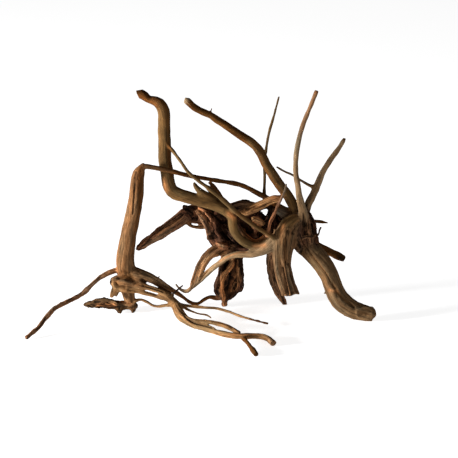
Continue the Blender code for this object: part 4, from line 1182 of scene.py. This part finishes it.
@dataclass(frozen=True)
class GrainPattern:
    """The relief of the wood: flutes, splits, flakes and swells along a limb's grain.

    Each wave is how long and how wide a pattern's waves are, in millimetres. The bend is
    how far the grain wanders sideways, and the swell how high the wood swells, both in
    millimetres too. Flakes lie in steps, with a slope between one step and the next.
    """

    seeds: tuple[int, ...] = (11, 23, 37, 41)
    bend_wave: tuple[float, float] = (23, 9)
    flute_wave: tuple[float, float] = (38, 4.5)
    split_wave: tuple[float, float] = (75, 3.2)
    flake_wave: tuple[float, float] = (10, 4.2)
    swell_wave: tuple[float, float] = (9, 12)
    bend: float = 1.3
    split_width: float = 0.12
    flake_steps: float = 2.4
    flake_slope_start: float = 0.3
    flake_slope: float = 0.35
    flake_height: float = 1.2
    swell: float = 0.4
    swell_shift: float = 50
    hollow_start: float = 0.4

    @cached_property
    def noises(self) -> tuple[GrainNoise, ...]:
        """The noise of the flutes, of the splits, of the flakes, and of bends and swells."""
        return tuple(GrainNoise(seed) for seed in self.seeds)

    def relief(self, grain: Grain, rows: np.ndarray,
               shift: float) -> tuple[np.ndarray, np.ndarray]:
        """The relief of a limb's wood.

        Args:
            grain: Where the points lie in the limb's grain.
            rows: The wood's numbers at each.
            shift: Moves the patterns along, so that no two limbs share one.

        Returns:
            The height of each point, and how deep in a split it lies, from 0 to 1.
        """
        flutes, splits, lumps, warp = self.noises
        run, x, y = grain.run + shift, grain.round_x, grain.round_y
        bend = warp.at(self.waves(self.bend_wave, run, x, y))
        x, y = x + self.bend * bend, y - self.bend * bend
        broad = flutes.layered(self.waves(self.flute_wave, run, x, y), 2)
        fine = splits.layered(self.waves(self.split_wave, run, x, y), 2)
        split = np.clip(1 - np.abs(fine) / self.split_width, 0, 1)
        flakes = lumps.layered(self.waves(self.flake_wave, run, x, y), 3) * self.flake_steps
        level = np.floor(flakes)
        slope = np.clip((flakes - level - self.flake_slope_start) / self.flake_slope, 0, 1)
        knob = (level + slope) / self.flake_steps
        swell = warp.at(self.waves(self.swell_wave, run, x, y) + self.swell_shift)
        height = (rows[:, Column.FLUTES] * broad
                  + rows[:, Column.LUMPS] * self.flake_height * knob + self.swell * swell)
        height -= rows[:, Column.SPLITS] * split
        # How deep in a split or in a hollow between flakes the point lies: the wood is darkened
        # there as painted shade.
        hollow = (split * np.clip(rows[:, Column.SPLITS], 0, 1)
                  + np.clip(-height - self.hollow_start, 0, 1) * rows[:, Column.LUMPS])
        return height, hollow

    def waves(self, wave: tuple[float, float], run: np.ndarray, x: np.ndarray,
              y: np.ndarray) -> np.ndarray:
        """Places in the grain, counted in waves along it and across it."""
        along, across = wave
        return np.stack([run / along, x / across, y / across], axis=1)


class SkinLayer(Enum):
    """What the skin carries for its wood: the name, the sort and where it lies."""

    GRAIN = ("grain", "FLOAT_VECTOR", "CORNER")
    TONE = ("tone", "FLOAT_COLOR", "POINT")
    CONTRAST = ("contrast", "FLOAT", "POINT")
    # How deep the skin lies in a split or hollow, which the wood darkens as painted shade.
    HOLLOW = ("hollow", "FLOAT", "POINT")

    def keep(self, mesh: bpy.types.Mesh, values: np.ndarray) -> None:
        """Keeps values on the skin, one row for each point or corner."""
        field = {"FLOAT_VECTOR": "vector", "FLOAT_COLOR": "color", "FLOAT": "value"}
        name, sort, domain = self.value
        layer = mesh.attributes.new(name, sort, domain)
        layer.data.foreach_set(field[sort], values.astype(np.float32).ravel())

    def socket(self, nodes: "WoodNodes") -> Socket:
        """The layer in a material."""
        output = {"FLOAT_VECTOR": "Vector", "FLOAT_COLOR": "Color", "FLOAT": "Fac"}
        name, sort, _ = self.value
        return nodes.attribute(name, output[sort])


def read(items: bpy.types.bpy_prop_collection, field: str, width: int,
         sort: type = np.float32) -> np.ndarray:
    """One field of every item of a mesh.

    Args:
        items: The mesh's vertices, edges, faces or corners.
        field: The name of the field.
        width: How many numbers it has.
        sort: What sort of number they are.

    Returns:
        One row of numbers for each item.
    """
    flat = np.empty(len(items) * width, dtype=sort)
    items.foreach_get(field, flat)
    return flat.reshape(-1, width)


@dataclass
class RootSkin:
    """The one skin of the whole root, fused from every limb and carved with its grain.

    The blend is how far, in millimetres, one limb's wood runs into the next. Fillets fill
    the creases within their reach, in millimetres. The shifts move each limb's patterns
    along from the last one's, in millimetres: one in the relief and one in the colour.
    """

    limbs: list[Limb]
    marks: list[Mark]
    pattern: GrainPattern = GrainPattern()
    blend: float = 1.1
    fillet_reach: float = 2.2
    fillet_start: float = 1.2
    fillet_share: float = 0.6
    fillet_rounds: int = 14
    relief_shift: float = 9.7
    colour_shift: float = 61.0
    name: str = "grown_root"

    def fuse(self) -> bpy.types.Object:
        """Sweeps the limbs and fuses their tubes into one closed skin."""
        growth = bmesh.new()
        for limb in self.limbs:
            tube = limb.sweep()
            growth.from_mesh(tube)
            bpy.data.meshes.remove(tube)
        mesh = bpy.data.meshes.new(self.name)
        growth.to_mesh(mesh)
        growth.free()
        skin = bpy.data.objects.new(self.name, mesh)
        bpy.context.scene.collection.objects.link(skin)
        remesh = skin.modifiers.new("one skin", "REMESH")
        remesh.mode = "VOXEL"
        remesh.voxel_size = SKIN_GRID
        self.settle(skin)
        return skin

    def settle(self, skin: bpy.types.Object) -> None:
        """Replaces the object's mesh with what its modifiers make of it."""
        graph = bpy.context.evaluated_depsgraph_get()
        mesh = bpy.data.meshes.new_from_object(skin.evaluated_get(graph))
        skin.modifiers.clear()
        skin.data = mesh
        mesh.name = self.name

    def places(self, mesh: bpy.types.Mesh) -> np.ndarray:
        """The mesh's vertices, in millimetres."""
        return read(mesh.vertices, "co", 3).astype(float) / MM

    def place(self, mesh: bpy.types.Mesh, points: np.ndarray) -> None:
        """Puts the mesh's vertices at points given in millimetres."""
        mesh.vertices.foreach_set("co", (points * MM).astype(np.float32).ravel())
        mesh.update()

    def smoothed(self, mesh: bpy.types.Mesh, values: np.ndarray, share: np.ndarray,
                 rounds: int) -> np.ndarray:
        """Evens out values over the skin.

        Args:
            mesh: The skin's mesh.
            values: One row of numbers for each vertex.
            share: How far each vertex moves to its neighbours' mean, from 0 to 1.
            rounds: How many times it does.

        Returns:
            The evened values.
        """
        first, second = read(mesh.edges, "vertices", 2, np.int64).T
        count = len(mesh.vertices)
        links = np.bincount(first, minlength=count) + np.bincount(second, minlength=count)
        values = values.copy()
        for _ in range(rounds):
            for column in range(values.shape[1]):
                level = values[:, column]
                total = np.bincount(first, weights=level[second], minlength=count)
                total += np.bincount(second, weights=level[first], minlength=count)
                values[:, column] = level + share * (total / np.maximum(links, 1) - level)
        return values

    def near(self, points: np.ndarray) -> list[tuple[np.ndarray, Grain]]:
        """For each limb, the points near it and their places in its grain."""
        found = []
        for limb in self.limbs:
            inside = limb.route.beside(points)
            found.append((inside, Grain.of(limb.route, points[inside])))
        return found

    def round_junctions(self, mesh: bpy.types.Mesh) -> None:
        """Fills the creases between limbs, as grown wood does."""
        points = self.places(mesh)
        nearest = np.full(len(points), FAR)
        second = np.full(len(points), FAR)
        for inside, grain in self.near(points):
            old_nearest, old_second = nearest[inside], second[inside]
            nearest[inside] = np.minimum(old_nearest, grain.outside)
            second[inside] = np.where(grain.outside < old_nearest, old_nearest,
                                      np.minimum(old_second, grain.outside))
        share = np.clip(self.fillet_start - (second - nearest) / self.fillet_reach, 0, 1)
        share = share * self.fillet_share
        self.place(mesh, self.smoothed(mesh, points, share, self.fillet_rounds))

    def carve(self, mesh: bpy.types.Mesh) -> None:
        """Cuts the grain, the decay and the marks into the skin, and paints its woods, with the
        marks' stains, painted shade and painted highlights.
        """
        points = self.places(mesh)
        normals = read(mesh.vertex_normals, "vector", 3).astype(float)
        found = self.near(points)
        nearest = np.full(len(points), FAR)
        for inside, grain in found:
            nearest[inside] = np.minimum(nearest[inside], grain.outside)
        weights = np.zeros(len(points))
        height = np.zeros(len(points))
        woods = np.zeros((len(points), Column.CONTRAST + 1))
        depth = np.zeros(len(points))
        for number, (limb, (inside, grain)) in enumerate(zip(self.limbs, found)):
            weight = np.exp(-(grain.outside - nearest[inside]) / self.blend)
            rows = limb.woods(grain.run)
            relief, split = self.pattern.relief(grain, rows, self.relief_shift * number)
            weights[inside] += weight
            height[inside] += weight * relief
            depth[inside] += weight * split
            woods[inside] += weight[:, None] * rows
        weights = np.maximum(weights, 1e-9)
        height, depth, woods = height / weights, depth / weights, woods / weights[:, None]
        seen = VIEW.seen(points)
        facing = -normals @ VIEW.forward
        tones = woods[:, :Column.FLUTES].copy()
        for mark in self.marks:
            inside, share = mark.share(seen, facing)
            height[inside] += mark.height * share
            # A mark's kind lays its colour here: a stain of the wood, painted shade or a painted
            # highlight.
            if mark.kind:
                stain_and_painted_light = (share * mark.cover)[:, None]
                tones[inside] += stain_and_painted_light * (np.array(mark.kind.value.tone) - tones[inside])
        points = points + normals * height[:, None]
        points[:, 2] = np.maximum(points[:, 2], 0)
        self.place(mesh, points)
        SkinLayer.TONE.keep(mesh, np.hstack([tones, np.ones((len(tones), 1))]))
        SkinLayer.CONTRAST.keep(mesh, woods[:, Column.CONTRAST])
        SkinLayer.HOLLOW.keep(mesh, np.clip(depth, 0, 1))

    def thin_out(self, skin: bpy.types.Object) -> None:
        """Keeps the faces where the skin is rough, and fewer where it is smooth."""
        faces = sum(len(face.vertices) - 2 for face in skin.data.polygons)
        if faces > SKIN_FACES:
            fewer = skin.modifiers.new("fewer faces", "DECIMATE")
            fewer.ratio = SKIN_FACES / faces
            self.settle(skin)

    def lay_grain(self, mesh: bpy.types.Mesh) -> None:
        """Gives each face the grain of the limb that it lies on.

        The layer holds, in metres, the run along the limb and the place round it.
        """
        centres = read(mesh.polygons, "center", 3).astype(float) / MM
        nearest = np.full(len(centres), FAR)
        owner = np.zeros(len(centres), dtype=np.int64)
        for number, (inside, grain) in enumerate(self.near(centres)):
            closer = grain.outside < nearest[inside]
            nearest[inside[closer]] = grain.outside[closer]
            owner[inside[closer]] = number
        corner_owner = np.repeat(owner, read(mesh.polygons, "loop_total", 1, np.int64)[:, 0])
        corners = read(mesh.loops, "vertex_index", 1, np.int64)[:, 0]
        points = self.places(mesh)[corners]
        grain_map = np.zeros((len(corners), 3))
        for number, limb in enumerate(self.limbs):
            mine = np.nonzero(corner_owner == number)[0]
            grain = Grain.of(limb.route, points[mine])
            run = grain.run + self.colour_shift * number
            grain_map[mine] = np.stack([run, grain.round_x, grain.round_y], axis=1) * MM
        SkinLayer.GRAIN.keep(mesh, grain_map)

    def build(self) -> bpy.types.Object:
        """Makes the finished skin."""
        skin = self.fuse()
        self.round_junctions(skin.data)
        self.carve(skin.data)
        self.thin_out(skin)
        self.lay_grain(skin.data)
        skin.data.shade_smooth()
        return skin


@dataclass(frozen=True)
class Texture:
    """A layer of noise in the wood.

    The scale is how fine it is along and across the grain, in waves to the metre. The span
    is where its dark part ends and where its pale part begins.
    """

    scale: Place
    detail: float
    roughness: float
    span: tuple[float, float] = (0.0, 1.0)


@dataclass
class WoodNodes:
    """Short ways to add the shader nodes that the wood is mixed from."""

    tree: bpy.types.NodeTree

    def add(self, sort: str, values: dict, links: dict,
            operation: str | None = None) -> bpy.types.Node:
        """Adds a shader node.

        Args:
            sort: Which node it is.
            values: What its sockets are set to, by their names or numbers.
            links: What its sockets are linked to, by their names or numbers.
            operation: What a node of maths works out.

        Returns:
            The node.
        """
        node = self.tree.nodes.new(f"ShaderNode{sort}")
        if operation:
            node.operation = operation
        for socket, value in values.items():
            node.inputs[socket].default_value = value
        for socket, source in links.items():
            self.tree.links.new(source, node.inputs[socket])
        return node

    def attribute(self, name: str, output: str) -> Socket:
        """One of the skin's own attributes."""
        node = self.add("Attribute", {}, {})
        node.attribute_name = name
        return node.outputs[output]

    def object_place(self) -> Socket:
        """The point's place on the root."""
        return self.add("TexCoord", {}, {}).outputs["Object"]

    def noise(self, place: Socket, texture: Texture) -> Socket:
        """A texture's noise over places."""
        mapping = self.add("Mapping", {"Scale": texture.scale}, {"Vector": place})
        values = {"Scale": 1.0, "Detail": texture.detail, "Roughness": texture.roughness}
        node = self.add("TexNoise", values, {"Vector": mapping.outputs["Vector"]})
        return node.outputs["Fac"]

    def parted(self, noise: Socket, texture: Texture) -> Socket:
        """A texture's noise, parted into dark and pale."""
        low, high = texture.span
        return self.ramp(noise, (low, 0.0), (high, 1.0))

    def ramp(self, source: Socket, start: tuple[float, float],
             end: tuple[float, float]) -> Socket:
        """A value that runs from one stop to another, each a place and what it has there."""
        values = {"From Min": start[0], "From Max": end[0], "To Min": start[1], "To Max": end[1]}
        return self.add("MapRange", values, {"Value": source}).outputs["Result"]

    def blend(self, first: Socket, second: Socket, share: float) -> Socket:
        """The first value with a share of the second."""
        return self.add("Mix", {"Factor": share}, {"A": first, "B": second}).outputs["Result"]

    def valley(self, source: Socket, level: float, width: float) -> Socket:
        """One where a value crosses a level, and nothing further than a width from it."""
        apart = self.add("Math", {1: level}, {0: source}, "SUBTRACT")
        gap = self.add("Math", {}, {0: apart.outputs["Value"]}, "ABSOLUTE")
        return self.ramp(gap.outputs["Value"], (0.0, 1.0), (width, 0.0))

    def multiply(self, first: Socket, second: Socket) -> Socket:
        """The product of two values."""
        return self.add("Math", {}, {0: first, 1: second}, "MULTIPLY").outputs["Value"]

    def mix_colour(self, share: Socket, first: Socket, second: Socket) -> Socket:
        """A colour between two others."""
        node = self.add("Mix", {}, {"Factor": share})
        node.data_type = "RGBA"
        colours = [socket for socket in node.inputs if socket.type == "RGBA"]
        self.tree.links.new(first, colours[0])
        self.tree.links.new(second, colours[1])
        return next(socket for socket in node.outputs if socket.type == "RGBA")

    def brighter(self, colour: Socket, share: Socket) -> Socket:
        """The colour with its light multiplied by a value."""
        return self.add("VectorMath", {}, {0: colour, "Scale": share}, "SCALE").outputs["Vector"]

    def tinted(self, colour: Socket, tint: Colour) -> Socket:
        """The colour multiplied by a tint."""
        return self.add("VectorMath", {1: tint}, {0: colour}, "MULTIPLY").outputs["Vector"]

    def darker(self, colour: Socket, share: float) -> Socket:
        """The colour with only a share of its light."""
        return self.add("VectorMath", {"Scale": share}, {0: colour}, "SCALE").outputs["Vector"]


@dataclass(frozen=True)
class RootWood:
    """Peeled root wood: streaks along the grain, dark cracks, and a dull dry surface.

    Checks are fine cracks in the colour alone, and splits the ones cut into the skin. Each
    keeps a share of the tone's light: the splits, and the hollows between flakes, are darkened
    as painted shade.
    """

    name: str = "peeled root wood"
    roughness: float = 0.85
    gloss: float = 0.05
    bump: float = 0.55
    bump_height: float = 0.5 * MM
    streaks: Texture = Texture((40, 380, 380), 3, 0.6, (0.36, 0.64))
    fibres: Texture = Texture((150, 1500, 1500), 2, 0.5, (0.30, 0.70))
    patches: Texture = Texture((70, 110, 110), 3, 0.55, (0.34, 0.66))
    warmth: Texture = Texture((22, 120, 120), 2, 0.5, (0.38, 0.62))
    pits: Texture = Texture((900, 900, 900), 2, 0.6)
    checks: Texture = Texture((34, 420, 420), 2, 0.5)
    cool_tint: Colour = (0.94, 1.01, 1.0)
    warm_tint: Colour = (1.12, 0.99, 0.82)
    patch_share: float = 0.4
    fibre_share: float = 0.35
    pit_share: float = 0.3
    swing_span: tuple[float, float] = (0.18, 0.82)
    check_level: float = 0.5
    check_width: float = 0.035
    check_light: float = 0.2
    # Painted shade in the splits and hollows: the depths where it begins and is full, how much it
    # covers, and the light it keeps.
    split_span: tuple[float, float] = (0.1, 0.7)
    split_cover: float = 0.95
    split_light: float = 0.1

    def build(self) -> bpy.types.Material:
        """Makes the material from the skin's own layers."""
        material = bpy.data.materials.new(self.name)
        material.use_nodes = True
        nodes = WoodNodes(material.node_tree)
        shader = nodes.tree.nodes["Principled BSDF"]
        shader.inputs["Specular IOR Level"].default_value = self.gloss
        shader.inputs["Roughness"].default_value = self.roughness
        grain = SkinLayer.GRAIN.socket(nodes)
        fibres = nodes.noise(grain, self.fibres)
        nodes.tree.links.new(self.colour(nodes, grain, fibres), shader.inputs["Base Color"])
        pits = nodes.noise(nodes.object_place(), self.pits)
        relief = nodes.blend(fibres, pits, self.pit_share)
        values = {"Strength": self.bump, "Distance": self.bump_height}
        bump = nodes.add("Bump", values, {"Height": relief})
        nodes.tree.links.new(bump.outputs["Normal"], shader.inputs["Normal"])
        return material

    def colour(self, nodes: WoodNodes, grain: Socket, fibres: Socket) -> Socket:
        """The wood's colour.

        Args:
            nodes: What the nodes are added with.
            grain: The place in the grain.
            fibres: The noise of the fibres.

        Returns:
            The colour, with its streaks, checks, and painted shade in its splits and hollows.
        """
        tone = SkinLayer.TONE.socket(nodes)
        contrast = SkinLayer.CONTRAST.socket(nodes)
        warmth = nodes.parted(nodes.noise(grain, self.warmth), self.warmth)
        tone = nodes.mix_colour(warmth, nodes.tinted(tone, self.cool_tint),
                                nodes.tinted(tone, self.warm_tint))
        streaks = nodes.parted(nodes.noise(grain, self.streaks), self.streaks)
        patches = nodes.parted(nodes.noise(grain, self.patches), self.patches)
        mixed = nodes.blend(nodes.blend(streaks, patches, self.patch_share),
                            nodes.parted(fibres, self.fibres), self.fibre_share)
        low, high = self.swing_span
        swing = nodes.multiply(nodes.ramp(mixed, (low, -1.0), (high, 1.0)), contrast)
        wood = nodes.brighter(tone, nodes.ramp(swing, (-1.0, 0.0), (1.0, 2.0)))
        checks = nodes.valley(nodes.noise(grain, self.checks), self.check_level, self.check_width)
        wood = nodes.mix_colour(nodes.multiply(checks, contrast), wood,
                                nodes.darker(tone, self.check_light))
        # Painted shade: the skin's splits and hollows darken towards a share of the tone.
        shallow, deep = self.split_span
        split = nodes.ramp(SkinLayer.HOLLOW.socket(nodes), (shallow, 0.0),
                           (deep, self.split_cover))
        return nodes.mix_colour(split, wood, nodes.darker(tone, self.split_light))


@dataclass(frozen=True)
class PaleFloor:
    """The plain floor that the root stands on."""

    size: float = 8.0
    drop: float = 0.2 * MM
    colour: Colour = (0.9, 0.9, 0.9)
    glow: float = 0.82

    def build(self) -> bpy.types.Object:
        """Makes the floor just under the root."""
        plate = bmesh.new()
        bmesh.ops.create_grid(plate, x_segments=1, y_segments=1, size=self.size / 2)
        mesh = bpy.data.meshes.new("floor")
        plate.to_mesh(mesh)
        plate.free()
        floor = bpy.data.objects.new("floor", mesh)
        floor.location.z = -self.drop
        bpy.context.scene.collection.objects.link(floor)
        material = bpy.data.materials.new("pale floor")
        material.use_nodes = True
        shader = material.node_tree.nodes["Principled BSDF"]
        shader.inputs["Base Color"].default_value = (*self.colour, 1)
        shader.inputs["Roughness"].default_value = 1.0
        shader.inputs["Specular IOR Level"].default_value = 0.0
        shader.inputs["Emission Color"].default_value = (1, 1, 1, 1)
        shader.inputs["Emission Strength"].default_value = self.glow
        mesh.materials.append(material)
        return floor


@dataclass(frozen=True)
class SoftLamp:
    """A square soft light.

    Its place and the length of its sides are in metres, and its power is in watts.
    """

    name: str
    place: Place
    size: float
    power: float

    def build(self, aim: Place) -> None:
        """Adds the light, facing a place."""
        data = bpy.data.lights.new(self.name, "AREA")
        data.size = self.size
        data.energy = self.power
        lamp = bpy.data.objects.new(self.name, data)
        lamp.location = self.place
        facing = Vector(aim) - Vector(self.place)
        lamp.rotation_euler = facing.to_track_quat("-Z", "Y").to_euler()
        bpy.context.scene.collection.objects.link(lamp)


@dataclass(frozen=True)
class Studio:
    """Soft light from low on the left, a weak fill, and the front view's camera."""

    key: SoftLamp = SoftLamp("key light", (-1.7, -0.48, 0.26), 0.3, 85.0)
    fill: SoftLamp = SoftLamp("fill light", (1.2, -1.2, 0.9), 1.2, 1.5)
    aim: Place = (0, 0, 0.1)
    sky: float = 0.1
    lens: float = 120.0

    def light(self) -> None:
        """Adds the lights and the sky."""
        self.key.build(self.aim)
        self.fill.build(self.aim)
        world = bpy.data.worlds.new("sky")
        world.use_nodes = True
        background = world.node_tree.nodes["Background"]
        background.inputs["Color"].default_value = (1, 1, 1, 1)
        background.inputs["Strength"].default_value = self.sky
        bpy.context.scene.world = world
        bpy.context.scene.view_settings.view_transform = "Standard"

    def camera(self) -> None:
        """Adds the camera of the front view."""
        data = bpy.data.cameras.new("front view")
        data.lens = self.lens
        camera = bpy.data.objects.new("front view", data)
        camera.location = Vector(VIEW.eye) * MM
        camera.rotation_euler = (math.pi / 2 - VIEW.look_down, 0, 0)
        bpy.context.scene.collection.objects.link(camera)
        bpy.context.scene.camera = camera


def main() -> None:
    """Builds the root, its floor, its light and its camera."""
    logging.basicConfig(level=logging.INFO, format="%(message)s")
    parts = (CrownLimbs(), Twigs(), FrontFoot(), DecayedHeart(), HangingRoot(), LeftKnot(),
             GroundRoots())
    limbs, marks = [], []
    for part in parts:
        limbs += part.limbs()
        marks += part.marks()
        log.info("%s: %d limbs, %d marks", type(part).__name__, len(part.limbs()),
                 len(part.marks()))
    root = RootSkin(limbs, marks).build()
    root.data.materials.append(RootWood().build())
    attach(root, "root")
    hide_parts("spiderwood_root")
    log.info("%s: %d faces", root.name, len(root.data.polygons))
    PaleFloor().build()
    studio = Studio()
    studio.light()
    studio.camera()


if __name__ == "__main__":
    main()
